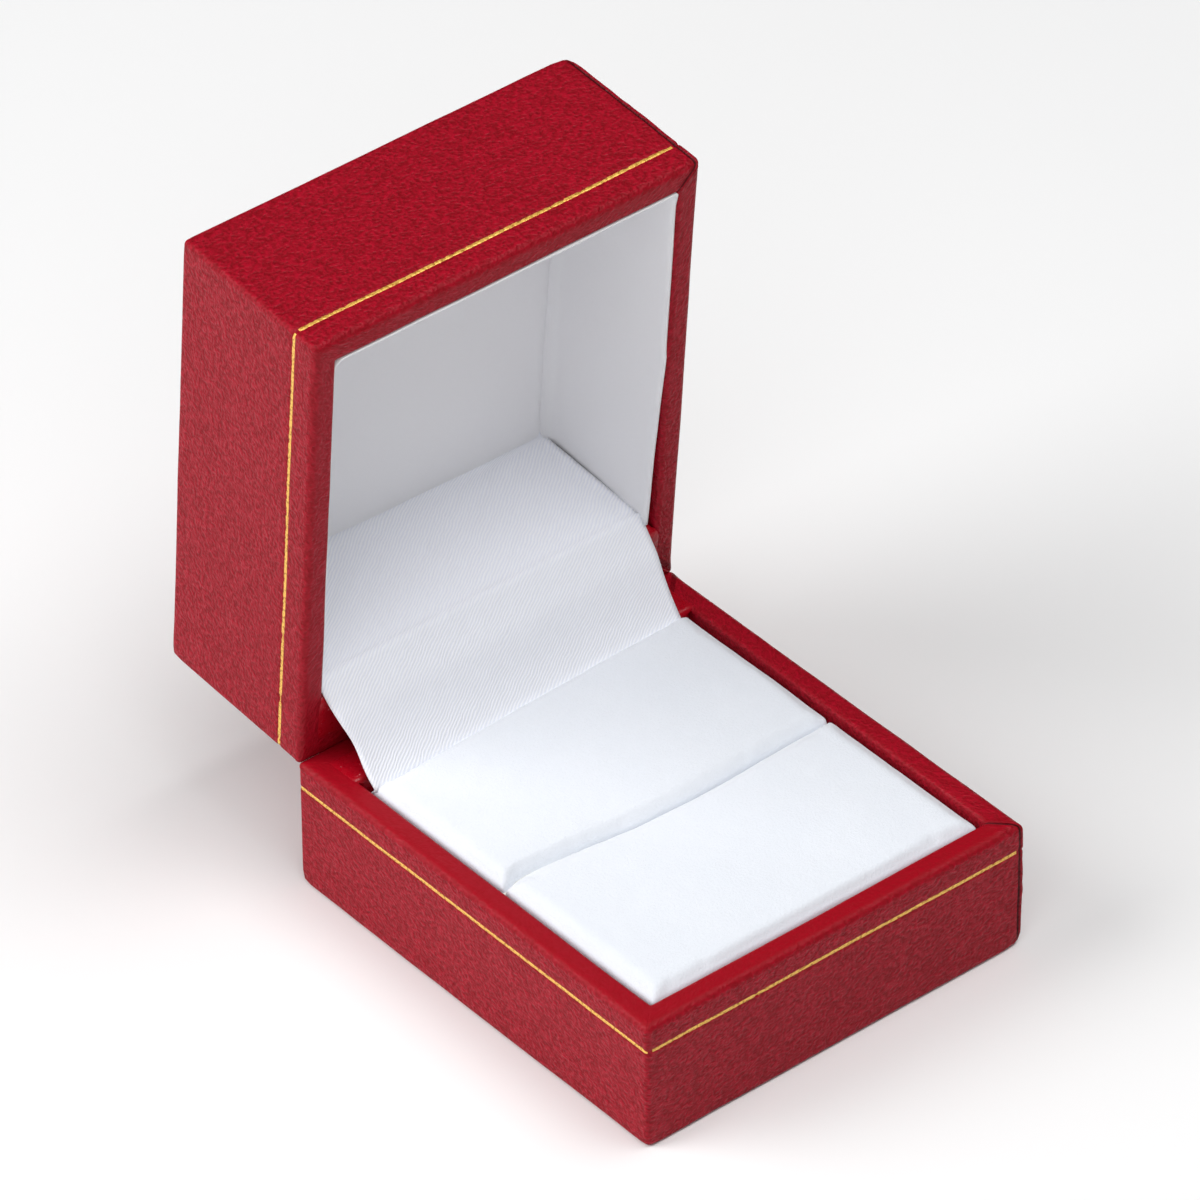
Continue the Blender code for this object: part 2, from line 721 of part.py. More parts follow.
def main():
    for old in list(bpy.data.objects):
        bpy.data.objects.remove(old)
    build_base()
    build_lid()


main()
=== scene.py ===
"""The looks of a hinged ring box, made over its CAD frame.

Shapes are worked out in millimetres. A piece of the lid is drawn as it lies with the box shut, about the
hinge axis, and LID_FRAME then puts it where the open lid stands. Both halves are drawn with "up" as the
direction from the rim to the closed side: -1 for the base, +1 for the lid.
"""

import json
import math
from collections import namedtuple

import bmesh
import bpy
import numpy as np
from mathutils import Matrix, Vector, noise


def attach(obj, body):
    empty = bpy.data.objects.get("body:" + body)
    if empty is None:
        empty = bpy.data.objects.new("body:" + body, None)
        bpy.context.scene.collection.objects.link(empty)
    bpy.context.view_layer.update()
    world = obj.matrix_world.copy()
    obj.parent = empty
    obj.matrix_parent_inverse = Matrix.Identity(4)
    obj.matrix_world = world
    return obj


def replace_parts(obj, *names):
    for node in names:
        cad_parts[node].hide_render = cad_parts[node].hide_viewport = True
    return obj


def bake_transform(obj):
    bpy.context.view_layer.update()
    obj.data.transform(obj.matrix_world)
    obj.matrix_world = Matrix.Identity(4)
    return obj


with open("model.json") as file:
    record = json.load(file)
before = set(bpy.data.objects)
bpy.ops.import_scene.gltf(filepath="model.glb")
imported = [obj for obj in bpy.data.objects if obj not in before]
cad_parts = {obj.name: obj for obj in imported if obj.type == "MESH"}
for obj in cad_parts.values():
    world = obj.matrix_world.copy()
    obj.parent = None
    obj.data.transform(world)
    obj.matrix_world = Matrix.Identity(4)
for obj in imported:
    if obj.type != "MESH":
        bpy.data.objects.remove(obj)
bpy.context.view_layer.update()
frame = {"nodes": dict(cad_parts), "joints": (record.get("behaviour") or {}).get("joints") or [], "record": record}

MM = 0.001

# ---------------------------------------------------------------- sizes from the frame


def node_box(node, matrix=None):
    """Lowest and highest corners of a CAD node in millimetres, in the frame that matrix leads to."""
    points = [v.co / MM for v in frame["nodes"][node].data.vertices]
    if matrix is not None:
        points = [matrix @ p for p in points]
    array = np.array(points)
    return Vector(array.min(0)), Vector(array.max(0))


HINGE = frame["joints"][0]
AXIS = Vector(HINGE["pos_m"]) / MM
OPEN_ANGLE = max(HINGE["range_deg"])
LID_FRAME = Matrix.Translation(AXIS) @ Matrix.Rotation(math.radians(-OPEN_ANGLE), 4, "X")
TO_LID = LID_FRAME.inverted()

BASE_LOW, BASE_HIGH = node_box("base_wrap")
LID_LOW, LID_HIGH = node_box("lid_wrap", TO_LID)
WIDTH = BASE_HIGH.x - BASE_LOW.x
DEPTH = BASE_HIGH.y - BASE_LOW.y
BASE_HEIGHT = BASE_HIGH.z
LID_RIM, LID_BACK = LID_LOW.z, LID_HIGH.z
LID_MIDDLE_Y = (LID_LOW.y + LID_HIGH.y) / 2
PAD_LOW, PAD_HIGH = node_box("pad_velvet")
LINER_HIGH = node_box("lid_liner_walls", TO_LID)[1]
REAR_LINER_LOW = node_box("lid_liner_rear", TO_LID)[0]
PUFF_LOW, PUFF_HIGH = node_box("lid_puff_satin", TO_LID)
FOAM_TOP = node_box("lid_puff_foam", TO_LID)[1].z
BASE_RAIL_LOW, BASE_RAIL_HIGH = node_box("base_hinge_rail")
LID_RAIL_LOW, LID_RAIL_HIGH = node_box("lid_hinge_rail", TO_LID)
FLAP_LOW = node_box("hinge_flap")[0]
LINE_BASE = sum(node_box("base_gold_line")[i].z for i in (0, 1)) / 2
LINE_LID = sum(node_box("lid_gold_line", TO_LID)[i].z for i in (0, 1)) / 2

# What tells the two halves of the box apart.
Half = namedtuple("Half", "body up rim line closed_z middle_y matrix")
BASE = Half("base", -1, BASE_HEIGHT, LINE_BASE, 0.0, 0.0, None)
LID = Half("lid", 1, LID_RIM, LINE_LID, LID_BACK, LID_MIDDLE_Y, LID_FRAME)

# Leatherette skin.
CORNER_RADIUS = 0.6
EDGE_RADIUS = 0.6
RIM_RADIUS = 0.9
SKIN = 0.7
WALL = 3.0
TURN_IN = 0.5
TURN_IN_DEPTH = 10.0
TURN_UNDER = 8.0
NOTCH_HALF_WIDTH = 17.2
NOTCH_DEPTH = 1.4
CREASE_DEPTH = 0.12
CREASE_HALF_MOUTH = 0.45
VERTEX_REACH = 1.0  # how far a blunted corner reaches
CORNERS = ((1, 1, 0), (-1, 1, 90), (-1, -1, 180), (1, -1, 270))
ARC_STEPS = 12


# ---------------------------------------------------------------- meshes


def wobble(x, y, z, size, seed=0.0):
    """Smooth noise between about -1 and 1 whose lumps are size millimetres across."""
    return noise.noise(Vector((x / size + seed, y / size - seed, z / size + 2.3 * seed)))


def grid_faces(rows, columns, wrap_rows=False, wrap_columns=False):
    """Quads over a grid of points stored row by row."""
    faces = []
    for r in range(rows if wrap_rows else rows - 1):
        for c in range(columns if wrap_columns else columns - 1):
            r2, c2 = (r + 1) % rows, (c + 1) % columns
            faces.append((r * columns + c, r * columns + c2, r2 * columns + c2, r2 * columns + c))
    return faces


def run_lengths(points):
    """How far each point of a line is along it."""
    steps = np.linalg.norm(np.diff(np.asarray(points, float), axis=0), axis=1)
    return np.concatenate([[0.0], np.cumsum(steps)])


def in_metres(matrix):
    """The same turn and shift for points that are in metres."""
    return Matrix.Scale(MM, 4) @ matrix @ Matrix.Scale(1 / MM, 4)


def add_object(name, data):
    made = bpy.data.objects.new(name, data)
    bpy.context.scene.collection.objects.link(made)
    return made


def box_between(low, high):
    """A box between two corners."""
    work = bmesh.new()
    bmesh.ops.create_cube(work, size=1.0)
    bmesh.ops.scale(work, vec=Vector(high) - Vector(low), verts=work.verts)
    bmesh.ops.translate(work, vec=(Vector(low) + Vector(high)) / 2, verts=work.verts)
    return work


def make_object(name, points, faces, finish, body, matrix=None, uvs=None):
    """A smooth mesh object from points in millimetres. uvs holds one (u, v) in millimetres a point."""
    mesh = bpy.data.meshes.new(name)
    array = np.asarray(points, float).reshape(-1, 3)
    if matrix is not None:
        turned = np.array(matrix)
        array = array @ turned[:3, :3].T + turned[:3, 3]
    mesh.from_pydata((array * MM).tolist(), [], faces)
    if uvs is not None:
        layer = mesh.uv_layers.new(name="cloth")
        index = np.zeros(len(mesh.loops), np.int32)
        mesh.loops.foreach_get("vertex_index", index)
        layer.data.foreach_set("uv", np.asarray(uvs, np.float32)[index].ravel())
    outward(mesh)
    mesh.shade_smooth()
    made = add_object(name, mesh)
    mesh.materials.append(finish)
    if body:
        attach(made, body)
    return made


def outward(mesh):
    """Turns every face of a closed mesh outwards."""
    work = bmesh.new()
    work.from_mesh(mesh)
    bmesh.ops.recalc_face_normals(work, faces=work.faces)
    work.to_mesh(mesh)
    work.free()


def evaluated_mesh(thing):
    """The object's mesh with its modifiers applied."""
    bpy.context.view_layer.update()
    graph = bpy.context.evaluated_depsgraph_get()
    return bpy.data.meshes.new_from_object(thing.evaluated_get(graph))


def apply_modifiers(thing):
    made = evaluated_mesh(thing)
    old = thing.data
    thing.modifiers.clear()
    thing.data = made
    made.name = old.name
    bpy.data.meshes.remove(old)


def cut_boxes(thing, boxes, matrix=None):
    """Cuts boxes, each given by two corners in millimetres, out of a closed object."""
    cutters = []
    for low, high in boxes:
        mesh = bpy.data.meshes.new("cutter")
        work = box_between(low, high)
        if matrix is not None:
            bmesh.ops.transform(work, matrix=matrix, verts=work.verts)
        bmesh.ops.scale(work, vec=(MM, MM, MM), verts=work.verts)
        work.to_mesh(mesh)
        work.free()
        cutter = add_object("cutter", mesh)
        modifier = thing.modifiers.new("cut", "BOOLEAN")
        modifier.operation = "DIFFERENCE"
        modifier.solver = "EXACT"
        modifier.object = cutter
        cutters.append(cutter)
    apply_modifiers(thing)
    for cutter in cutters:
        bpy.data.objects.remove(cutter)


# ---------------------------------------------------------------- materials


class Finish:
    """A node material in the making."""

    def __init__(self, name, colour, roughness, metallic=0.0, **sockets):
        self.material = bpy.data.materials.new(name)
        self.material.use_nodes = True
        self.tree = self.material.node_tree
        self.shader = self.tree.nodes["Principled BSDF"]
        self.shader.inputs["Base Color"].default_value = (*colour, 1.0)
        self.shader.inputs["Roughness"].default_value = roughness
        self.shader.inputs["Metallic"].default_value = metallic
        for socket, value in sockets.items():
            self.shader.inputs[socket.replace("_", " ")].default_value = value

    def node(self, kind, **settings):
        made = self.tree.nodes.new("ShaderNode" + kind)
        for key, value in settings.items():
            setattr(made, key, value)
        return made

    def link(self, source, target):
        self.tree.links.new(source, target)

    def place(self, scale=(1, 1, 1), turn=0.0, uv=True):
        """A texture position in millimetres: along the cloth, or in the object's own space."""
        mapping = self.node("Mapping")
        if uv:
            source = self.node("UVMap", uv_map="cloth").outputs[0]
            factor = 1.0
        else:
            source = self.node("TexCoord").outputs["Object"]
            factor = 1.0 / MM
        mapping.inputs["Rotation"].default_value = (0, 0, math.radians(turn))
        mapping.inputs["Scale"].default_value = [s * factor for s in scale]
        self.link(source, mapping.inputs["Vector"])
        return mapping.outputs[0]

    def noise(self, position, scale, detail=2.0, roughness=0.5, distortion=0.0):
        made = self.node("TexNoise")
        self.link(position, made.inputs["Vector"])
        made.inputs["Scale"].default_value = scale
        made.inputs["Detail"].default_value = detail
        made.inputs["Roughness"].default_value = roughness
        made.inputs["Distortion"].default_value = distortion
        return made.outputs["Fac"]

    def wander(self, position, scale, amount):
        """A wandering offset for a texture position."""
        made = self.node("TexNoise")
        self.link(position, made.inputs["Vector"])
        made.inputs["Scale"].default_value = scale
        made.inputs["Detail"].default_value = 1.0
        scaled = self.node("VectorMath", operation="SCALE")
        self.link(made.outputs["Color"], scaled.inputs[0])
        scaled.inputs["Scale"].default_value = amount
        return scaled.outputs[0]

    def cells(self, position, scale, feature="SMOOTH_F1", smoothness=0.6):
        made = self.node("TexVoronoi", feature=feature)
        self.link(position, made.inputs["Vector"])
        made.inputs["Scale"].default_value = scale
        if feature == "SMOOTH_F1":
            made.inputs["Smoothness"].default_value = smoothness
        return made.outputs["Distance"]

    def math(self, operation, a, b=0.0, c=0.0):
        made = self.node("Math", operation=operation)
        for socket, value in zip(made.inputs, (a, b, c)):
            if isinstance(value, (int, float)):
                socket.default_value = value
            else:
                self.link(value, socket)
        return made.outputs[0]

    def ramp(self, value, low, high, to_low=0.0, to_high=1.0):
        made = self.node("MapRange", clamp=True)
        self.link(value, made.inputs["Value"])
        for key, number in (("From Min", low), ("From Max", high), ("To Min", to_low), ("To Max", to_high)):
            made.inputs[key].default_value = number
        return made.outputs[0]

    def mix(self, factor, first, second, target="Base Color"):
        """Blends two colours into a shader socket by a factor."""
        made = self.node("Mix", data_type="RGBA")
        self.link(factor, made.inputs["Factor"])
        for socket, value in (("A", first), ("B", second)):
            plug = [i for i in made.inputs if i.name == socket and i.type == "RGBA"][0]
            if isinstance(value, tuple):
                plug.default_value = (*value, 1.0)
            else:
                self.link(value, plug)
        output = [o for o in made.outputs if o.type == "RGBA"][0]
        if target:
            self.link(output, self.shader.inputs[target])
        return output

    def bump(self, height, distance_mm, strength=1.0, after=None):
        made = self.node("Bump")
        made.inputs["Strength"].default_value = strength
        made.inputs["Distance"].default_value = distance_mm * MM
        self.link(height, made.inputs["Height"])
        if after is not None:
            self.link(after, made.inputs["Normal"])
        self.link(made.outputs[0], self.shader.inputs["Normal"])
        return made.outputs[0]


def leatherette():
    """Red coated paper, embossed with long, wandering wrinkles that are pressed flat along the rims, with painted
    shade in the seam's groove.
    """
    made = Finish("leatherette", (0.36, 0.003, 0.012), 0.45, Specular_IOR_Level=0.17)
    polish = made.node("Attribute", attribute_name="polish").outputs["Fac"]
    groove = made.node("Attribute", attribute_name="groove").outputs["Fac"]
    place = made.place(scale=(1.0, 1.25, 1.0))
    bent = made.node("VectorMath", operation="ADD")
    made.link(place, bent.inputs[0])
    made.link(made.wander(made.place(), 1.2, 0.5), bent.inputs[1])
    waves = made.noise(bent.outputs[0], 1.9, 1.5, 0.45)
    cells = made.cells(bent.outputs[0], 2.2, smoothness=0.5)
    fine = made.noise(made.place(), 6.0, 2.0, 0.6)
    height = made.math("MULTIPLY_ADD", waves, 1.3, made.math("MULTIPLY", cells, 0.5))
    height = made.math("MULTIPLY_ADD", fine, 0.12, height)
    crests = made.ramp(height, 0.72, 1.25)
    broad = made.noise(made.place(), 0.05, 2.0)
    deep = made.mix(broad, (0.22, 0.001, 0.006), (0.245, 0.0013, 0.008), target=None)
    grained = made.mix(crests, deep, (0.40, 0.005, 0.020), target=None)
    red = made.mix(made.math("MULTIPLY", polish, 0.8), grained, (0.32, 0.0012, 0.008), target=None)
    # painted shade: the groove attribute darkens the colour in the overlap's groove at the front right corner
    made.mix(groove, red, (0.02, 0.0004, 0.001))
    made.link(made.ramp(height, 0.75, 1.3, 0.55, 0.38), made.shader.inputs["Roughness"])
    flat = made.math("SUBTRACT", 1.0, made.math("MULTIPLY", polish, 0.75))
    made.bump(made.math("MULTIPLY", height, flat), 0.15)
    return made.material


def smooth_red():
    """Plain glazed red paper on the rails, with a little dust on it."""
    made = Finish("smooth_red_paper", (0.34, 0.002, 0.010), 0.28, Specular_IOR_Level=0.35)
    place = made.place(uv=False)
    dust = made.ramp(made.noise(place, 2.6, 1.0), 0.74, 0.78)
    made.mix(dust, (0.36, 0.002, 0.010), (0.62, 0.22, 0.24))
    made.link(made.ramp(made.noise(place, 1.1, 2.0), 0.3, 0.7, 0.22, 0.38), made.shader.inputs["Roughness"])
    made.bump(made.noise(place, 0.9, 3.0), 0.05)
    return made.material


def gold_foil():
    """Hot-stamped gold: the foil breaks up over the grain."""
    made = Finish("gold_foil", (0.95, 0.66, 0.18), 0.4, metallic=0.35)
    place = made.place()
    worn = made.ramp(made.noise(place, 2.8, 2.0, 0.6), 0.34, 0.52)
    made.mix(worn, (0.5, 0.2, 0.02), (1.0, 0.62, 0.13))
    made.bump(made.noise(place, 2.6, 2.0), 0.08)
    return made.material


def twill_satin():
    """White satin ribbon with a fine diagonal rib."""
    made = Finish("twill_satin", (0.84, 0.84, 0.87), 0.42, Sheen_Weight=0.2, Sheen_Roughness=0.4)
    place = made.place(turn=-35.0)
    shift = made.math("MULTIPLY", made.noise(made.place(), 0.5, 2.0), 0.5)
    split = made.node("SeparateXYZ")
    made.link(place, split.inputs[0])
    phase = made.math("MULTIPLY", made.math("ADD", split.outputs["Y"], shift), 2 * math.pi / 0.36)
    rib = made.math("MULTIPLY_ADD", made.math("SINE", phase), 0.5, 0.5)
    threads = made.noise(made.place(scale=(1.0, 6.0, 1.0)), 2.5, 2.0)
    height = made.math("ADD", rib, made.math("MULTIPLY", threads, 0.5))
    made.mix(rib, (0.82, 0.845, 0.93), (0.95, 0.96, 1.0))
    made.bump(height, 0.022)
    return made.material


def plain_satin():
    """Smooth white lining satin."""
    made = Finish("plain_satin", (0.82, 0.82, 0.845), 0.5, Sheen_Weight=0.15, Sheen_Roughness=0.4)
    place = made.place(uv=False)
    weave = made.noise(place, 4.5, 3.0, 0.6)
    made.mix(weave, (0.90, 0.895, 0.915), (0.94, 0.935, 0.95))
    made.bump(weave, 0.012)
    return made.material


def velvet():
    """Short white velvet pile, with painted shade beside the rims."""
    made = Finish("velvet", (0.86, 0.89, 0.94), 0.95, Sheen_Weight=0.6, Sheen_Roughness=0.5)
    place = made.place(uv=False)
    pile = made.noise(place, 3.2, 4.0, 0.65)
    brushed = made.noise(place, 0.12, 3.0, 0.5)
    tint = made.math("ADD", made.math("MULTIPLY", pile, 0.5), made.math("MULTIPLY", brushed, 0.5))
    pile_tint = made.mix(tint, (0.77, 0.81, 0.875), (0.84, 0.865, 0.915), target=None)
    # painted shade: the rim attribute blends the pile towards a greyer violet beside the rims
    shaded = made.node("Attribute", attribute_name="rim").outputs["Fac"]
    made.mix(shaded, pile_tint, (0.56, 0.57, 0.69))
    made.bump(pile, 0.07)
    return made.material


def cad_finish(name, colour, roughness, metallic, grain, size_mm, depth_mm):
    """A plain material with grain for a CAD node."""
    made = Finish(name, colour, roughness, metallic)
    place = made.place(scale=grain, uv=False)
    pattern = made.noise(place, 1.0 / size_mm, 3.0, 0.6)
    darker = tuple(c * 0.82 for c in colour)
    lighter = tuple(min(c * 1.12, 1.0) for c in colour)
    made.mix(pattern, darker, lighter)
    low, high = roughness * 0.8, min(roughness * 1.2, 1.0)
    made.link(made.ramp(pattern, 0.3, 0.7, low, high), made.shader.inputs["Roughness"])
    made.bump(pattern, depth_mm)
    return made.material


LEATHERETTE = leatherette()
SMOOTH_RED = smooth_red()
GOLD = gold_foil()
TWILL = twill_satin()
SATIN = plain_satin()
VELVET = velvet()
CAD_FINISHES = {
    "smooth_red_paper": SMOOTH_RED,
    "grey_board": cad_finish("grey_board", (0.42, 0.38, 0.32), 0.85, 0.0, (1, 1, 3), 0.6, 0.03),
    "white_card": cad_finish("white_card", (0.78, 0.77, 0.74), 0.8, 0.0, (1, 1, 1), 0.4, 0.02),
    "foam": cad_finish("foam", (0.84, 0.83, 0.76), 0.95, 0.0, (1, 1, 1), 0.35, 0.1),
    "plated_steel": cad_finish("plated_steel", (0.62, 0.61, 0.58), 0.3, 1.0, (0.15, 1, 1), 0.3, 0.01),
    "spring_steel": cad_finish("spring_steel", (0.36, 0.36, 0.38), 0.34, 1.0, (1, 0.2, 0.2), 0.3, 0.01),
    "white_satin": SATIN,
}


def dress(thing, finish, body):
    """Gives a piece its material and its body."""
    thing.data.materials.clear()
    thing.data.materials.append(finish)
    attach(thing, body)


def finish_cad_nodes():
    """Gives every CAD node that stays its material."""
    slots = {entry["node"]: entry["material_slot"] for entry in frame["record"]["subparts"]}
    for name, node in frame["nodes"].items():
        if slots[name] in CAD_FINISHES:
            node.data.materials.clear()
            node.data.materials.append(CAD_FINISHES[slots[name]])


# ---------------------------------------------------------------- leatherette skins


def ring(inset, spacing, seam=()):
    """The box's outline drawn in by inset: x and y about its middle, one row a point.

    seam holds distances before the front right corner that get a point of their own.
    """
    radius = max(CORNER_RADIUS - inset, 0.3)
    corners = []
    for side_x, side_y, start in CORNERS:
        centre = np.array([side_x * (WIDTH / 2 - inset - radius), side_y * (DEPTH / 2 - inset - radius)])
        angles = np.radians(np.linspace(start, start + 90, ARC_STEPS + 1))
        corners.append(centre + radius * np.stack([np.cos(angles), np.sin(angles)], axis=1))
    points = []
    for k, corner in enumerate(corners):
        points.append(corner)
        length = WIDTH if k % 2 == 0 else DEPTH
        steps = round(length / spacing)
        share = np.arange(1, steps) / steps
        if k == SEAM_SIDE and seam:
            share = np.sort(np.concatenate([share[:-1], 1 - np.array(seam) / length]))
        points.append(corner[-1] + share[:, None] * (corners[(k + 1) % 4][0] - corner[-1]))
    return np.concatenate(points)


def arc(centre, radius, start, end, steps):
    angles = np.radians(np.linspace(start, end, steps + 1))
    return [(centre[0] + radius * math.cos(a), centre[1] + radius * math.sin(a)) for a in angles]


def dense(path, spacing):
    """Adds points along a path of (inset, z) so that none is further than spacing from the next."""
    out = [path[0]]
    for a, b in zip(path, path[1:]):
        steps = max(1, round(math.dist(a, b) / spacing))
        out += [tuple(np.array(a) + (np.array(b) - a) * i / steps) for i in range(1, steps + 1)]
    return out


def crease(line, up):
    """Soft groove for the gold line, from its closed side to its rim side."""
    out = []
    for i in range(9):
        share = -1 + i / 4
        dip = CREASE_DEPTH * (0.5 + 0.5 * math.cos(math.pi * share))
        out.append((dip, line - up * share * CREASE_HALF_MOUTH))
    return out


def outer_path(line, rim, edge, up):
    """From the end of the closed side's rounding, over the crease and the rim, to the inner skin's foot."""
    top = [(x, rim + up * (RIM_RADIUS - z)) for x, z in arc((RIM_RADIUS, 0), RIM_RADIUS, 180, 90, 8)]
    over = arc((WALL - TURN_IN, 0), TURN_IN, 90, 0, 5)
    inner = [(x, rim + up * (TURN_IN - z)) for x, z in over]
    face = dense([(0.0, edge), (0.0, line + up * CREASE_HALF_MOUTH)], 1.0)
    lip = dense([(0.0, line - up * CREASE_HALF_MOUTH), (0.0, rim + up * RIM_RADIUS)], 0.7)
    flat = dense([top[-1], inner[0]], 0.35)
    foot = dense([inner[-1], (WALL, rim + up * TURN_IN_DEPTH)], 1.5)
    return face[:-1] + crease(line, up) + lip[1:] + top[1:] + flat[1:-1] + inner + foot[1:]


def hidden_path(rim, up):
    """Back of the skin, under the rim."""
    return [
        (WALL - TURN_IN, rim + up * TURN_IN_DEPTH),
        (WALL - TURN_IN, rim + up * SKIN),
        (SKIN + 0.4, rim + up * SKIN),
        (SKIN, rim + up * (SKIN + 0.4)),
    ]


SPACING = 0.9
SEAM_SIDE = 2  # the front side, which ends at the front right corner
SEAM_POINTS = (0.3, 0.2, 0.1)
SEAM_PLACE = -0.02  # past the start of the corner's rounding
SEAM_WIDTH = 0.1
SEAM_FADE = 2.5  # from the closed side, where the overlap is pressed flat
DIAGONAL = ARC_STEPS // 2
MITRE_DEPTHS = (0.10, 0.03, 0.02, 0.12)
BASE_SEED = 1.0
LID_SEED = 2.0


def corner_stations(spacing, seam):
    """Where the arcs of the outline start, and their middles, as distances along it."""
    outline = ring(0.0, spacing, seam=seam)
    along = run_lengths(outline)
    first, starts = 0, []
    for k in range(4):
        starts.append(first)
        count = round((WIDTH if k % 2 == 0 else DEPTH) / spacing)
        extra = len(seam) - 1 if k == SEAM_SIDE and seam else 0
        first += ARC_STEPS + count + extra
    return along, [along[i] for i in starts], [along[i + DIAGONAL] for i in starts]


def bell(distance, width):
    return math.exp(-((distance / width) ** 2))


def surface_lift(x, y, z, seed):
    """Slow unevenness of a covered board."""
    return 0.07 * wobble(x, y, z, 16.0, seed) + 0.03 * wobble(x, y, z, 5.0, seed + 3)


def past_seam(s, starts, x, y, z, seed):
    """How far a point is past the wavering edge of the overlap at the front right corner."""
    return s - starts[SEAM_SIDE + 1] - SEAM_PLACE + 0.08 * wobble(x, y, z, 3.5, seed)


def fold_lift(s, middles, past, x, y, z, on_rim, notch_z, full, seed):
    """Folds of the skin: mitres on the rim, and the overlap beside the front right corner."""
    lift = 0.0
    if on_rim:
        for middle, depth in zip(middles, MITRE_DEPTHS):
            lift += depth * (0.5 * bell(s - middle - 0.35, 0.25) - bell(s - middle, 0.1))
    if abs(past) < 3:
        lift -= full * (0.16 + 0.06 * wobble(x, y, z, 1.4, seed)) * bell(past, SEAM_WIDTH)
        lift += 0.15 * full * bell(past - 0.38, 0.24) * (1 + 0.5 * wobble(x, y, z, 2.0, seed + 1))
        lift += 0.12 * bell(past - 0.38, 0.3) * bell(z - notch_z, 0.45)
    return lift


def rear_swell(inset, y, z, rim):
    """Extra fullness of the rims' rounding beside the hinge, where the two halves press on each other."""
    if inset > RIM_RADIUS + 0.01 or abs(z - rim) > RIM_RADIUS:
        return 0.0
    share = abs(z - rim) / RIM_RADIUS
    behind = min(max((y - DEPTH / 2 + 2.0) / 1.5, 0.0), 1.0)
    return 0.5 * share * (1 - share) * behind


def wrap_skin(name, half, path, visible, crown, blunt, pressed, seed):
    """Lofts a skin. visible is the range of rows of the path that show, and that get the hand-made shape.

    crown is how far the closed side's middle stands out, and blunt how far each of its corners is worn back.
    pressed is how smooth the rim is, from 0 to 1.
    """
    up, rim, line, closed_z, middle_y = half.up, half.rim, half.line, half.closed_z, half.middle_y
    rows = len(path)
    along, starts, middles = corner_stations(SPACING, SEAM_POINTS)
    columns = len(along)
    points = np.zeros((rows, columns, 3))
    for r, (inset, z) in enumerate(path):
        points[r, :, :2] = ring(inset, SPACING, SEAM_POINTS)
        points[r, :, 1] += middle_y
        points[r, :, 2] = z
    uvs = np.stack([np.tile(along, rows), np.repeat(run_lengths(path), columns)], axis=1)
    uvs = uvs.reshape(rows, columns, 2)
    for r, (inset, z) in enumerate(path):
        if inset > EDGE_RADIUS and z == closed_z:
            place = (points[r, :, :2] - (0, middle_y)) / (WIDTH / 2, DEPTH / 2)
            points[r, :, 2] += up * crown * np.prod(1 - place**4, axis=1)
            uvs[r] = points[r, :, :2]
    uvs = uvs.reshape(-1, 2)
    closed_loop = path[0][0] == path[-1][0]
    faces = grid_faces(rows, columns, wrap_rows=closed_loop, wrap_columns=True)
    if not closed_loop:
        faces.append(tuple(range(columns)))
        faces.append(tuple(range((rows - 1) * columns, rows * columns)))
    made = make_object(name, points, faces, LEATHERETTE, None, None, uvs)
    mesh = made.data
    normals = np.zeros(len(mesh.vertices) * 3)
    mesh.vertices.foreach_get("normal", normals)
    normals = normals.reshape(rows, columns, 3)
    polish = np.zeros((rows, columns))
    groove = np.zeros((rows, columns))
    for r, (inset, z) in enumerate(path):
        if not visible[0] <= r < visible[1]:
            continue
        on_rim = inset > 0.3 and abs(z - rim) < 0.5
        worn = 1 - 0.6 * (points[r, :, 0] > WIDTH / 2 - WALL - 0.1)
        polish[r] = pressed * worn * max(0.0, 1 - abs(z - rim) / RIM_RADIUS)
        near_line = max(0.0, 1 - abs(z - line) / 2.5) if inset < CREASE_DEPTH + 0.01 else 0.0
        for c in range(columns):
            x, y, z = points[r, c]
            lift = surface_lift(x, y, z, seed) + rear_swell(inset, y - middle_y, z, rim)
            notch_z = closed_z + (rim - closed_z) * 0.45
            past = past_seam(along[c], starts, x, y, z, seed)
            full = min(1.0, max(0.0, (closed_z - z) * up / SEAM_FADE))
            # groove holds painted shade for the overlap's groove, fading out towards the closed side
            groove[r, c] = min(1.0, 3 * full) * bell(past, SEAM_WIDTH * 1.5)
            lift += fold_lift(along[c], middles, past, x, y, z, on_rim, notch_z, full, seed)
            for (side_x, side_y, _), worn_back in zip(CORNERS, blunt):
                corner = (side_x * WIDTH / 2, side_y * DEPTH / 2 + middle_y, closed_z)
                lift -= worn_back * bell(math.dist((x, y, z), corner), VERTEX_REACH)
            points[r, c] += normals[r, c] * lift
            points[r, c, 2] += near_line * line_shift(x, y, seed)
    mesh.vertices.foreach_set("co", (points * MM).ravel())
    for label, amounts in (("polish", polish), ("groove", groove)):
        layer = mesh.attributes.new(label, "FLOAT", "POINT")
        layer.data.foreach_set("value", amounts.ravel().astype(np.float32))
    if half.matrix is not None:
        mesh.transform(in_metres(half.matrix))
    outward(mesh)
    mesh.update()
    reach = DEPTH / 2 + middle_y
    low, high = sorted((rim - up * 2.0, rim + up * NOTCH_DEPTH))
    notch = ((-NOTCH_HALF_WIDTH, reach - WALL - 0.4, low), (NOTCH_HALF_WIDTH, reach + 2, high))
    cut_boxes(made, [notch], half.matrix)
    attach(made, half.body)
    return made


def line_shift(x, y, seed):
    """How far the gold line wanders from true."""
    return 0.10 * wobble(x, y, 0, 11.0, seed + 7)


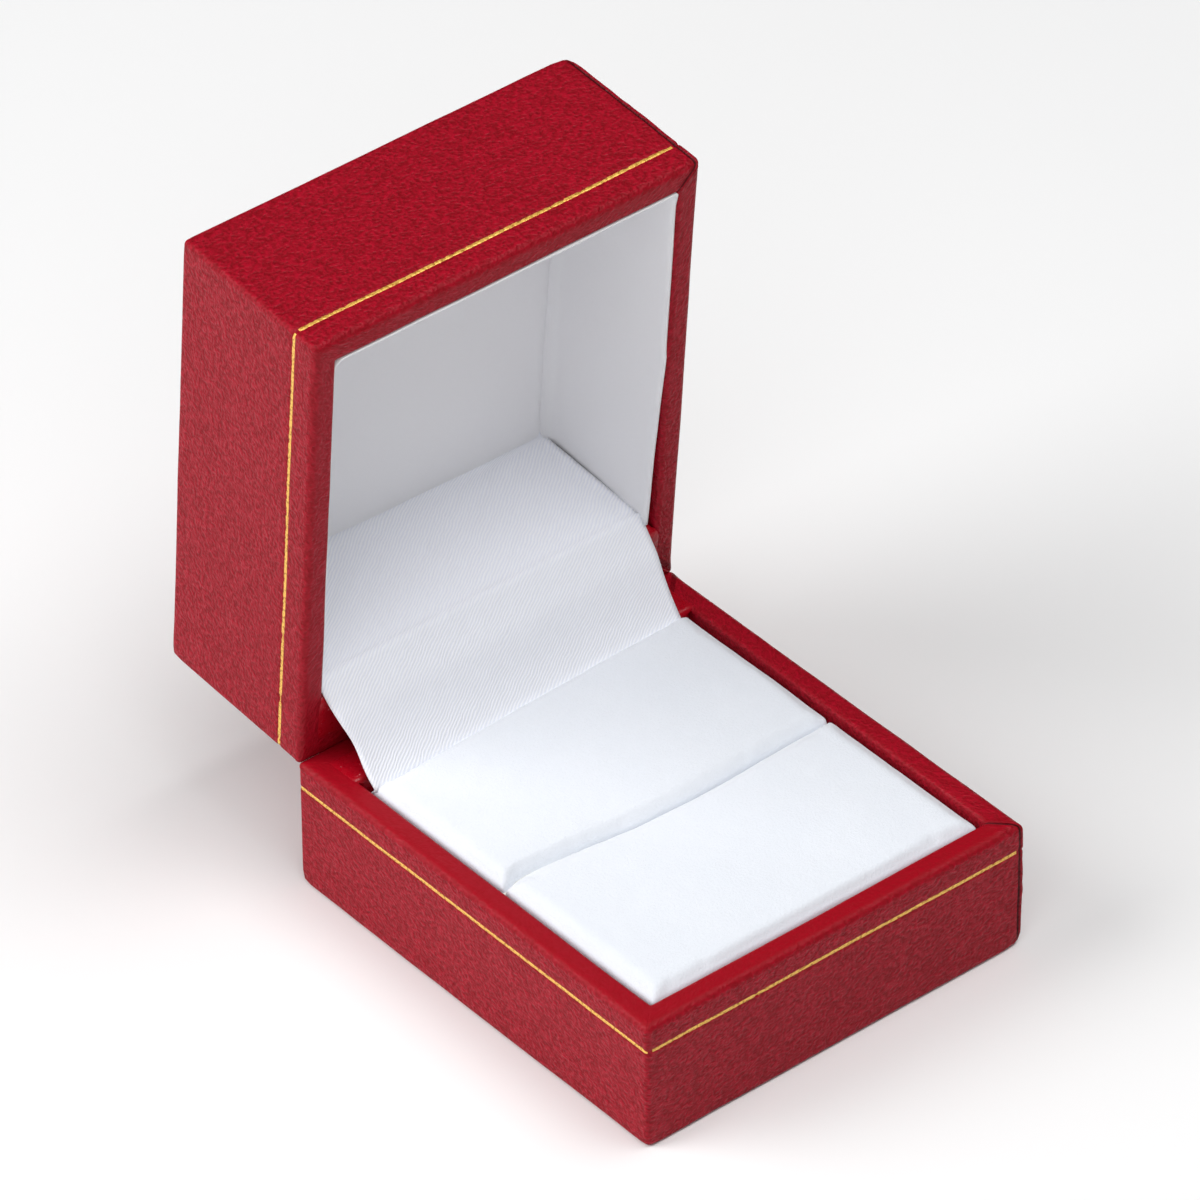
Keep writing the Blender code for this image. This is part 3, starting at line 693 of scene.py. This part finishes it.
def base_skin():
    rounding = [(x, EDGE_RADIUS - z) for x, z in arc((EDGE_RADIUS, 0), EDGE_RADIUS, 90, 180, 6)]
    under = dense([(TURN_UNDER, 0.0), rounding[0]], 1.7)
    outer = outer_path(LINE_BASE, BASE_HEIGHT, EDGE_RADIUS, -1)
    inside = [(SKIN, SKIN + 0.4), (SKIN + 0.4, SKIN), (TURN_UNDER, SKIN)]
    path = under[:-1] + rounding[:-1] + outer + hidden_path(BASE_HEIGHT, -1) + inside
    visible = (len(under) - 1, len(under) + len(rounding) + len(outer) - 2)
    blunt = (0.25, 0.25, 0.15, 0.35)
    made = wrap_skin("base_leatherette", BASE, path, visible, 0.0, blunt, 1.0, BASE_SEED)
    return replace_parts(made, "base_wrap")


def lid_skin():
    insets = [*np.linspace(WIDTH / 2 - 0.8, EDGE_RADIUS + 1.5, 16), EDGE_RADIUS + 0.03]
    face = [(inset, LID_BACK) for inset in insets]
    turned = arc((EDGE_RADIUS, 0), EDGE_RADIUS, 90, 180, 6)
    rounding = [(x, LID_BACK - EDGE_RADIUS + z) for x, z in turned]
    outer = outer_path(LINE_LID, LID_RIM, LID_BACK - EDGE_RADIUS, 1)
    inside = [(SKIN, LID_BACK - SKIN - 0.4), (SKIN + 0.4, LID_BACK - SKIN)]
    path = face + rounding[:-1] + outer + hidden_path(LID_RIM, 1) + inside
    visible = (0, len(face) + len(rounding) + len(outer) - 1)
    blunt = (0.2, 0.15, 0.05, 0.35)
    made = wrap_skin("lid_leatherette", LID, path, visible, 0.2, blunt, 0.45, LID_SEED)
    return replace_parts(made, "lid_wrap")


# ---------------------------------------------------------------- gold lines

FOIL_WIDTH = 0.56
FOIL_HEIGHT = 0.05
FOIL_SPACING = 0.16
# For each side, in the outline's order: what is missing at its two ends, and how far each end strays.
LINE_ENDS = (
    (0.2, 0.2, 0.0, 0.0),
    (0.1, 0.0, 0.0, 0.35),
    (0.4, 0.75, 0.0, 0.0),
    (0.2, 0.3, 0.0, 0.0),
)


def gold_line(name, half, stray_scale, seed, node):
    """Four stamped strips that follow the crease, ragged at their edges."""
    line, middle_y = half.line, half.middle_y
    points, faces, uvs = [], [], []
    outline = ring(CREASE_DEPTH * 0.9, FOIL_SPACING)
    total = len(outline)
    tangents = np.roll(outline, -1, axis=0) - np.roll(outline, 1, axis=0)
    normals = np.stack([tangents[:, 1], -tangents[:, 0]], axis=1)
    normals /= np.linalg.norm(normals, axis=1, keepdims=True)
    first = 0
    for k, (trim_start, trim_end, stray_start, stray_end) in enumerate(LINE_ENDS):
        count = round((WIDTH if k % 2 == 0 else DEPTH) / FOIL_SPACING)
        index = (first + DIAGONAL + np.arange(ARC_STEPS + count + 1)) % total
        first += ARC_STEPS + count
        run, outward_to = outline[index], normals[index]
        along = run_lengths(run)
        length = along[-1]
        keep = (along >= trim_start) & (along <= length - trim_end)
        first_point = len(points)
        for (x, y), side, s in zip(run[keep], outward_to[keep], along[keep]):
            ragged = wobble(x, y, 4 * k, 0.45, seed)
            gap = wobble(x, y, 9 * k, 1.3, seed + 5)
            reach = FOIL_WIDTH / 2 * (1 + 0.6 * ragged) * (0.3 if gap > 0.55 else 1.0)
            start_share = max(0.0, 1 - (s - trim_start) / 1.8)
            end_share = max(0.0, 1 - (length - trim_end - s) / 1.8)
            stray = stray_scale * (stray_start * start_share**2 + stray_end * end_share**2)
            height = line + line_shift(x, y + middle_y, seed) + stray + 0.05 * ragged
            lift = surface_lift(x, y + middle_y, height, seed)
            for out, sign in ((-0.05, -1), (FOIL_HEIGHT, -0.8), (FOIL_HEIGHT, 0.8), (-0.05, 1)):
                px, py = np.array([x, y]) + side * (lift + out)
                points.append((px, py + middle_y, height + sign * reach))
                uvs.append((s + 80 * k, sign * reach))
        rows = (len(points) - first_point) // 4
        block = grid_faces(rows, 4, wrap_columns=True)
        faces += [tuple(first_point + i for i in face) for face in block]
        faces.append(tuple(first_point + i for i in range(4)))
        faces.append(tuple(first_point + (rows - 1) * 4 + i for i in range(4)))
    made = make_object(name, points, faces, GOLD, half.body, half.matrix, uvs)
    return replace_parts(made, node)


# ---------------------------------------------------------------- rails


def sheet_solid(name, rows, thickness, finish, body, matrix, uvs):
    """A closed sheet from a grid of middle points, thickened both ways along its normals."""
    grid = np.asarray(rows, float)
    along = np.gradient(grid, axis=0)
    across = np.gradient(grid, axis=1)
    normal = np.cross(across, along)
    normal /= np.maximum(np.linalg.norm(normal, axis=2, keepdims=True), 1e-9)
    half = (np.asarray(thickness, float) / 2)[..., None] if np.ndim(thickness) else thickness / 2
    count_r, count_c = grid.shape[:2]
    points = np.concatenate([(grid + normal * half).reshape(-1, 3), (grid - normal * half).reshape(-1, 3)])
    size = count_r * count_c
    faces = grid_faces(count_r, count_c)
    faces += [tuple(size + i for i in reversed(face)) for face in grid_faces(count_r, count_c)]
    border = [(0, c) for c in range(count_c)]
    border += [(r, count_c - 1) for r in range(1, count_r)]
    border += [(count_r - 1, c) for c in range(count_c - 2, -1, -1)]
    border += [(r, 0) for r in range(count_r - 2, 0, -1)]
    loop = [r * count_c + c for r, c in border]
    for a, b in zip(loop, loop[1:] + loop[:1]):
        faces.append((a, b, size + b, size + a))
    return make_object(name, points, faces, finish, body, matrix, np.concatenate([uvs, uvs]))


RAIL_OVERLAP = 0.9  # how far the card lies over the rims, where it thins out
RAIL_CARD = 0.3
RAIL_FEATHER = 0.03
RAIL_PROUD = 0.04  # above the rims
RAIL_SINK = 0.2  # of its borders, into the rims' covering


def rail_cover(name, node, half, low, high, ease, seed):
    """Glazed red card over the hinge bay: flush with the rim, and bent down in front of the bay."""
    rim, up = half.rim, half.up
    front, back = low.y, high.y + 0.3 + RAIL_OVERLAP
    top = rim + up * (RAIL_CARD / 2 - RAIL_PROUD)
    foot = rim + up * (max(abs(low.z - rim), abs(high.z - rim)) - 0.05)
    reach = high.x + 0.35 + RAIL_OVERLAP
    bend = arc((front + RAIL_CARD / 2 + ease, ease), ease, 90, 180, 5)
    path = [(back, top)]
    path += [(y, top + up * (2 * ease - z)) for y, z in bend]
    path += [(front + RAIL_CARD / 2, foot)]
    path = dense(path, 0.5)
    shares = np.linspace(-1, 1, 112)
    rows, uvs, thickness = [], [], []
    for (y, z), step in zip(path, run_lengths(path)):
        below = min(1.0, abs(z - top) / 0.5)
        row = []
        for share in shares:
            x = share * (reach - (RAIL_OVERLAP + 0.4) * below)
            feather = min(1.0, min(reach - abs(x), back - y) / (RAIL_OVERLAP * 0.9))
            card = RAIL_FEATHER + (RAIL_CARD - RAIL_FEATHER) * max(feather, below)
            thickness.append(card)
            z_card = z - up * ((RAIL_CARD - card) / 2 - RAIL_SINK * (1 - max(feather, below)))
            rim_side = max(0.0, 1 - (reach - abs(x)) / 3.0)
            lift = 0.04 * wobble(x, y, z, 3.0, seed) + 0.10 * rim_side * wobble(x, y, z, 1.0, seed + 2)
            lift += 0.03 * (1 - below)
            row.append((x, y - below * lift, z_card - up * lift * (1 - below) * feather))
            uvs.append((x, step))
        rows.append(row)
    thickness = np.array(thickness).reshape(len(rows), len(shares))
    made = sheet_solid(name, rows, thickness, SMOOTH_RED, None, half.matrix, np.array(uvs))
    low_z, high_z = sorted((rim - up * 1.0, rim + up * 1.3))
    leaf_room = ((-NOTCH_HALF_WIDTH, high.y - 0.8, low_z), (NOTCH_HALF_WIDTH, back + 1, high_z))
    window = ((-4.5, front + 0.75, low_z), (4.5, high.y - 0.7, high_z))
    cut_boxes(made, [leaf_room, window], half.matrix)
    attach(made, half.body)
    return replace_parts(made, node)


# ---------------------------------------------------------------- padded pieces

SIM_FRAMES = 20
SIM_SCALE = 20.0  # the cloth solver is steady at about a metre, so a pad is simulated twenty times up


def inflate(name, work, voxel, rise, sink, pressure, shape):
    """Remeshes a closed bmesh in millimetres and swells it with the cloth solver.

    A point goes out by rise and in by sink at most, and slides along its face by sink at most. shape gives
    the final points from the swollen ones.
    """
    factor = MM * SIM_SCALE
    mesh = bpy.data.meshes.new(name)
    bmesh.ops.scale(work, vec=(factor, factor, factor), verts=work.verts)
    work.to_mesh(mesh)
    work.free()
    pad = add_object(name, mesh)
    remesh = pad.modifiers.new("remesh", "REMESH")
    remesh.mode = "VOXEL"
    remesh.voxel_size = voxel * factor
    apply_modifiers(pad)
    count = len(pad.data.vertices)
    rest = np.zeros(count * 3)
    pad.data.vertices.foreach_get("co", rest)
    swollen = rest.copy()
    cloth = pad.modifiers.new("cloth", "CLOTH")
    cloth.settings.use_pressure = True
    cloth.settings.uniform_pressure_force = pressure
    cloth.settings.effector_weights.gravity = 0.0
    cloth.settings.quality = 4
    cloth.collision_settings.use_collision = False
    for number in range(1, SIM_FRAMES + 1):
        bpy.context.scene.frame_set(number)
    graph = bpy.context.evaluated_depsgraph_get()
    result = pad.evaluated_get(graph).data
    result.vertices.foreach_get("co", swollen)
    pad.modifiers.clear()
    bpy.context.scene.frame_set(1)
    rest = rest.reshape(-1, 3) / factor
    swollen = swollen.reshape(-1, 3) / factor
    normals = np.zeros(count * 3)
    pad.data.vertices.foreach_get("normal", normals)
    normals = normals.reshape(-1, 3)
    move = swollen - rest
    out = np.sum(move * normals, axis=1, keepdims=True)
    slide = move - out * normals
    length = np.linalg.norm(slide, axis=1, keepdims=True)
    slide *= np.minimum(1.0, sink / np.maximum(length, 1e-9))
    final = shape(rest + np.clip(out, -sink, rise) * normals + slide)
    pad.data.vertices.foreach_set("co", (final * MM).ravel())
    relax = pad.modifiers.new("relax", "SMOOTH")
    relax.factor = 0.5
    relax.iterations = 1
    smooth = pad.modifiers.new("subdivision", "SUBSURF")
    smooth.levels = smooth.render_levels = 1
    apply_modifiers(pad)
    pad.data.shade_smooth()
    return pad


def block(low, high, eases):
    """A box whose top edges are rounded: eases gives (left, right, front, rear) radii."""
    work = box_between(low, high)
    tests = (
        lambda m: abs(m.x - low[0]) < 1e-4,
        lambda m: abs(m.x - high[0]) < 1e-4,
        lambda m: abs(m.y - low[1]) < 1e-4,
        lambda m: abs(m.y - high[1]) < 1e-4,
    )
    for test, radius in zip(tests, eases):
        edges = []
        for edge in work.edges:
            middle = (edge.verts[0].co + edge.verts[1].co) / 2
            if test(middle) and abs(middle.z - high[2]) < 1e-4:
                edges.append(edge)
        bmesh.ops.bevel(
            work, geom=edges, offset=radius, offset_type="OFFSET", segments=5, profile=0.5, affect="EDGES"
        )
    return work


SLOT_Y = -3.0
SLOT_SHAPE = (  # x, and y: the slot bows, and its left end is pulled over
    (-23.7, -1.6), (-21.0, -0.5), (-18.0, -0.5), (-13.5, -0.95), (-10.0, -1.4),
    (-5.0, -2.1), (3.0, -2.4), (9.0, -2.2), (17.0, -1.8), (23.7, -1.7),
)
SLOT_BLUR = ((-1.5, 0.25), (0, 0.5), (1.5, 0.25))  # offsets along x, and their shares
SEAM_SLANT = 0.041  # the pad's rear end and the satin's foot run askew


def slot_y(x):
    """Where the slot runs."""
    known_x, known_y = zip(*SLOT_SHAPE)
    return sum(np.interp(x + shift, known_x, known_y) * share for shift, share in SLOT_BLUR)


def pad_piece(name, front, rear, ease_front, ease_rear, crown, raised, seed):
    """One foam half of the ring pad under its velvet."""
    half = WIDTH / 2 - WALL
    inner_front = -(DEPTH / 2 - WALL)
    low = (PAD_LOW.x, front, PAD_LOW.z)
    high = (PAD_HIGH.x, rear, PAD_HIGH.z + raised)
    work = block(low, high, (0.6, 0.7, ease_front, ease_rear))

    def shape(swollen):
        out = swollen.copy()
        u = np.clip(out[:, 0] / half, -1, 1)
        v = np.clip((out[:, 1] - (front + rear) / 2) / ((rear - front) / 2), -1, 1)
        top = np.clip((out[:, 2] - PAD_LOW.z) / (PAD_HIGH.z - PAD_LOW.z), 0, 1)
        out[:, 2] += crown * top**4 * (1 - u**4) * (1 - np.abs(v) ** 3)
        for i, (x, y, z) in enumerate(out):
            near = max(0.0, 1 - abs(y - SLOT_Y) / 9.0)
            out[i, 1] += near * (slot_y(x) - SLOT_Y) + max(0.0, (y - 12) / 10) * top[i] * SEAM_SLANT * x
            out[i, 2] += top[i] * (0.10 * wobble(x, y, 0, 9.0, seed) + 0.035 * wobble(x, y, z, 1.6, seed))
            out[i, 0] += 0.05 * wobble(x, y, z, 1.2, seed + 4)
        out[:, 0] = np.clip(out[:, 0], -half + 0.02, half - 0.02)
        limit = np.minimum(PAD_HIGH.y + 0.6 + top**3 * SEAM_SLANT * out[:, 0], BASE_RAIL_LOW.y - 0.1)
        out[:, 1] = np.clip(out[:, 1], inner_front + 0.02, limit)
        out[:, 2] = np.maximum(out[:, 2], PAD_LOW.z)
        return out

    return inflate(name, work, 0.65, 0.5, 0.25, 5.0, shape)


def paint_rim_shade(mesh):
    """Marks the pile beside the rims for painted shade: a greyer violet tint where the rims shade the pad."""
    layer = mesh.attributes.new("rim", "FLOAT", "POINT")
    for i, vertex in enumerate(mesh.vertices):
        inside = min(WIDTH / 2 - WALL - abs(vertex.co.x / MM), vertex.co.y / MM + DEPTH / 2 - WALL)
        layer.data[i].value = 0.6 * max(0.0, 1 - inside / 1.4) ** 1.5


def ring_pad():
    front = pad_piece("pad_front", PAD_LOW.y, SLOT_Y + 0.1, 0.7, 0.3, 0.2, 0.18, 11.0)
    rear = pad_piece("pad_rear", SLOT_Y - 0.15, PAD_HIGH.y + 0.9, 0.2, 0.15, 0.2, 0.16, 13.0)
    for piece, name in ((front, "ring_pad_front"), (rear, "ring_pad_rear")):
        piece.name = name
        piece.data.name = name
        paint_rim_shade(piece.data)
        dress(piece, VELVET, "base")
        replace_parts(piece, "pad_velvet")


def lid_puff():
    """The lid's padded top, in satin: it swells between the liner walls."""
    low = (PUFF_LOW.x - 0.5, PUFF_LOW.y - 0.5, PUFF_LOW.z)
    high = (PUFF_HIGH.x + 0.5, PUFF_HIGH.y + 0.9, FOAM_TOP + 0.3)
    work = box_between(low, high)
    middle = (Vector(low) + Vector(high)) / 2

    def shape(swollen):
        out = swollen.copy()
        u = np.clip((out[:, 0] - middle.x) / (high[0] - low[0]) * 2, -1, 1)
        v = np.clip((out[:, 1] - middle.y) / (high[1] - low[1]) * 2, -1, 1)
        face = np.clip((high[2] - out[:, 2]) / (high[2] - low[2]), 0, 1)
        out[:, 2] -= 0.6 * face * (1 - u**4) * (1 - v**4)
        for i, (x, y, z) in enumerate(out):
            folds = wobble(x + 0.5 * y, (y - 0.5 * x) * 0.45, 0, 9.0, 21.0)
            out[i, 2] += face[i] * (0.22 * folds + 0.03 * wobble(x, y, z, 2.0, 22.0))
        out[:, 0] = np.clip(out[:, 0], low[0] - 0.15, high[0] + 0.15)
        out[:, 1] = np.clip(out[:, 1], low[1] - 0.2, high[1] + 0.2)
        out[:, 2] = np.minimum(out[:, 2], high[2])
        return out

    made = inflate("lid_padded_satin", work, 0.7, 0.35, 0.1, 3.0, shape)
    made.data.transform(in_metres(LID_FRAME))
    dress(made, SATIN, "lid")
    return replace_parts(made, "lid_puff_satin")


# ---------------------------------------------------------------- lid lining


LINER_CARD = 0.3
LINER_FILLET = 0.9  # how far the walls curve in to meet the padded top
# Right leg of the liner: distance from the hinge end, how far its edge stands back, and how far it leans in.
RIGHT_EDGE = ((0, 0.65, 0.75), (12, 0.45, 0.5), (24.5, 0.1, 0.08), (26, 0.3, 0.0), (48, 0.35, 0.0))


def right_edge(distance):
    table = np.array(RIGHT_EDGE, float)
    return np.interp(distance, table[:, 0], table[:, 1]), np.interp(distance, table[:, 0], table[:, 2])


def liner_walls():
    """Satin-covered card along the left, front and right walls, its edge a little uneven."""
    outer_x = WIDTH / 2 - WALL - 0.02 - LINER_CARD / 2
    front = LID_MIDDLE_Y - (DEPTH / 2 - WALL) + 0.02 + LINER_CARD / 2
    rear = LINER_HIGH.y
    plan = [(-outer_x, rear)]
    plan += arc((-outer_x + 1.1, front + 1.1), 1.1, 180, 270, 7)
    plan += arc((outer_x - 0.35, front + 0.35), 0.35, 270, 360, 5)
    plan += [(outer_x, rear)]
    plan = dense(plan, 0.8)
    along = run_lengths(plan)
    steps = 26
    rows, uvs = [], []
    for i in range(steps + 1):
        share = i / steps
        row = []
        for (x, y), s in zip(plan, along):
            on_side = min(1.0, max(0.0, (y - front) / 2))
            recess, lean = 0.05, 0.0
            if x < 0:
                recess += 0.55 * on_side
            else:
                edge, lean = right_edge(rear - y)
                recess += (edge - 0.05) * on_side
                lean *= on_side
            recess += 0.06 * wobble(s, 0, 0, 7.0, 31.0)
            z = LID_RIM + recess + (LINER_HIGH.z - LID_RIM - recess) * share
            inward = 0.35 * share + lean * (1 - share) ** 1.5 + 0.05 * wobble(s, z, 0, 8.0, 33.0)
            inward += LINER_FILLET * min(1.0, max(0.0, share - 0.84) / 0.09) ** 2
            side = math.copysign(on_side, x)
            row.append((x - side * inward, y + inward * (1 - on_side), z))
            uvs.append((s, 20 * share))
        rows.append(row)
    made = sheet_solid("lid_liner_satin", rows, LINER_CARD, SATIN, "lid", LID_FRAME, np.array(uvs))
    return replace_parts(made, "lid_liner_walls")


RIBBON_THICKNESS = 0.22
RIBBON_TURN = 72  # how far it bends where it meets the padded top, in degrees


def in_lid(y, z):
    """Where a point of the shut lid's frame stands in the open box, in (y, z)."""
    return tuple((LID_FRAME @ Vector((0, y, z)))[1:])


def satin_paths():
    """The ribbon's middle line in the open box as a function of the share of its width, in (y, z).

    Returns the function that gives a path, and the two points that the ribbon bends between.
    """
    tail = FLAP_LOW.y + 0.2
    seam_z = PAD_HIGH.z - 0.1
    surface = REAR_LINER_LOW.y - 0.2
    fold = in_lid(surface - 0.25, REAR_LINER_LOW.z - 0.35)
    back_z = PUFF_LOW.z + 0.05

    def path(x, across):
        foot = tail + SEAM_SLANT * x - 0.55
        points = []
        for z in np.linspace(FLAP_LOW.z, seam_z - 0.4, 14):
            share = (z - FLAP_LOW.z) / (seam_z - FLAP_LOW.z)
            points.append((tail + (foot - tail) * share**9, z))
        span = Vector((fold[0] - foot, fold[1] - seam_z))
        normal = Vector((span.y, -span.x)).normalized()
        for share in np.linspace(0, 1, 24):
            sag = 0.32 * math.sin(math.pi * min(share / 0.62, 1.0)) - 0.12 * math.sin(math.pi * share) ** 4
            points.append((foot + span.x * share + normal.x * sag, seam_z + span.y * share + normal.y * sag))
        radius = 3.6 - 2.9 * across**1.5
        points += [in_lid(surface, z) for z in np.linspace(REAR_LINER_LOW.z, back_z - radius - 0.6, 22)]
        for turn in np.linspace(0, RIBBON_TURN, 11):
            a = math.radians(turn)
            y = surface - radius * (1 - math.cos(a))
            points.append(in_lid(y, back_z - radius + radius * math.sin(a)))
        end_y = surface - radius * (1 - math.cos(math.radians(RIBBON_TURN)))
        end_z = back_z - radius + radius * math.sin(math.radians(RIBBON_TURN))
        points += [in_lid(end_y - 0.5 * k, end_z + 0.16 * k) for k in (1, 2)]
        return points

    return path, (tail, seam_z), fold


def satin_ribbon():
    """White twill ribbon: up from behind the pad, taut to the lid's lining, and over its rear wall."""
    path, seam, fold = satin_paths()
    low_x, high_x = -(WIDTH / 2 - WALL - 0.35), WIDTH / 2 - WALL - 0.95
    columns = []
    for across in np.linspace(0, 1, 72):
        x = low_x + (high_x - low_x) * across
        column = []
        for y, z in path(x, across):
            share = min(max((z - seam[1]) / (fold[1] - seam[1]), 0.0), 1.0)
            free = math.sin(math.pi * share) if y < fold[0] else 0.0
            foot = max(0.0, 1 - share) ** 2
            waist = bell(share - 0.38, 0.22)
            if across < 0.5:
                narrow = 0.35 * foot + 0.6 * waist
            else:
                narrow = -(0.7 * foot + 0.1 * waist)
            pulled = x + narrow * abs(2 * across - 1) ** 2
            ripple = free * (0.10 * wobble(x, z, y, 7.0, 41.0) + 0.04 * wobble(x * 2, z, y, 3.0, 42.0))
            edge = 0.12 * max(0.0, across - 0.97) / 0.03 * (y >= fold[0])
            column.append((pulled, y - 0.75 * ripple - edge, z + 0.65 * ripple))
        columns.append(column)
    rows = [list(row) for row in zip(*columns)]
    lengths = run_lengths(columns[len(columns) // 2])
    uvs = [(row[c][0], length) for row, length in zip(rows, lengths) for c in range(len(columns))]
    made = sheet_solid("hinge_satin", rows, RIBBON_THICKNESS, TWILL, None, None, np.array(uvs))
    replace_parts(made, "hinge_flap")
    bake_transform(made)
    return made


def bow_spring():
    """The hinge's bow spring: a copy of the CAD spring with its edges softened by a small bevel."""
    node = frame["nodes"]["hinge_spring"]
    mesh = node.data.copy()
    made = add_object("bow_spring", mesh)
    softened = made.modifiers.new("bevel", "BEVEL")
    softened.width = 0.05 * MM
    softened.segments = 2
    softened.limit_method = "ANGLE"
    apply_modifiers(made)
    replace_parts(made, "hinge_spring")
    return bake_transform(made)


# ---------------------------------------------------------------- studio

PHOTO_AZIMUTH = -39.4113
PHOTO_ELEVATION = 37.8113
PHOTO_ROLL = -0.5911
PHOTO_DISTANCE = 1144.09
PHOTO_TARGET = (-8.1661, 0.0, 47.9474)
SENSOR = 36.0
LENS = 317.733
FLOOR_REACH = 3.0  # metres
FLOOR_DROP = 0.00005  # metres below the box
LAMP_DISTANCE = 1.2  # metres
LAMP_SIZE = 0.9  # metres


def facing(azimuth, elevation):
    """Unit vector from the box towards a viewer at that azimuth and elevation."""
    a, e = math.radians(azimuth), math.radians(elevation)
    return Vector((math.sin(a) * math.cos(e), -math.cos(a) * math.cos(e), math.sin(e)))


def add_camera():
    back = facing(PHOTO_AZIMUTH, PHOTO_ELEVATION)
    right = Vector((0, 0, 1)).cross(back).normalized()
    up = back.cross(right)
    roll = math.radians(PHOTO_ROLL)
    axis_x = right * math.cos(roll) + up * math.sin(roll)
    axis_y = up * math.cos(roll) - right * math.sin(roll)
    turn = Matrix((axis_x, axis_y, back)).transposed().to_4x4()
    data = bpy.data.cameras.new("camera")
    data.sensor_width = SENSOR
    data.lens = LENS
    data.clip_start = 0.01
    camera = add_object("camera", data)
    place = (Vector(PHOTO_TARGET) + back * PHOTO_DISTANCE) * MM
    camera.matrix_world = Matrix.Translation(place) @ turn
    bpy.context.scene.camera = camera


def add_light(name, azimuth, elevation, power):
    data = bpy.data.lights.new(name, "AREA")
    data.shape = "DISK"
    data.size = LAMP_SIZE
    data.energy = power
    lamp = add_object(name, data)
    toward = facing(azimuth, elevation)
    lamp.location = toward * LAMP_DISTANCE + Vector((0, 0.01, 0.03))
    lamp.rotation_euler = toward.to_track_quat("Z", "Y").to_euler()


def add_floor():
    mesh = bpy.data.meshes.new("floor")
    corners = [(x * FLOOR_REACH, y * FLOOR_REACH, 0) for x, y in ((-1, -1), (1, -1), (1, 1), (-1, 1))]
    mesh.from_pydata(corners, [], [(0, 1, 2, 3)])
    floor = add_object("floor", mesh)
    floor.location.z = -FLOOR_DROP
    made = Finish("floor", (0.93, 0.93, 0.93), 0.9, Specular_IOR_Level=0.1)
    tone = made.noise(made.place(uv=False, scale=(0.01, 0.01, 0.01)), 2.0)
    made.mix(tone, (0.925, 0.925, 0.925), (0.935, 0.935, 0.935))
    mesh.materials.append(made.material)


def add_world():
    world = bpy.data.worlds.new("studio")
    world.use_nodes = True
    world.node_tree.nodes["Background"].inputs[0].default_value = (0.93, 0.96, 1.0, 1.0)
    world.node_tree.nodes["Background"].inputs[1].default_value = 0.03
    bpy.context.scene.world = world


def studio():
    add_camera()
    add_floor()
    add_world()
    add_light("left", -119, 33, 10.8)
    add_light("front", -42, 50, 4.6)
    add_light("top", 40, 72, 8.3)
    bpy.context.scene.view_settings.view_transform = "Standard"


def main():
    finish_cad_nodes()
    base_skin()
    lid_skin()
    gold_line("base_foil", BASE, -1.0, BASE_SEED, "base_gold_line")
    gold_line("lid_foil", LID, -0.5, LID_SEED, "lid_gold_line")
    rail_cover("base_rail_cover", "base_hinge_rail", BASE, BASE_RAIL_LOW, BASE_RAIL_HIGH, 0.5, 51.0)
    rail_cover("lid_rail_cover", "lid_hinge_rail", LID, LID_RAIL_LOW, LID_RAIL_HIGH, 1.1, 52.0)
    ring_pad()
    lid_puff()
    liner_walls()
    satin_ribbon()
    bow_spring()
    studio()


main()
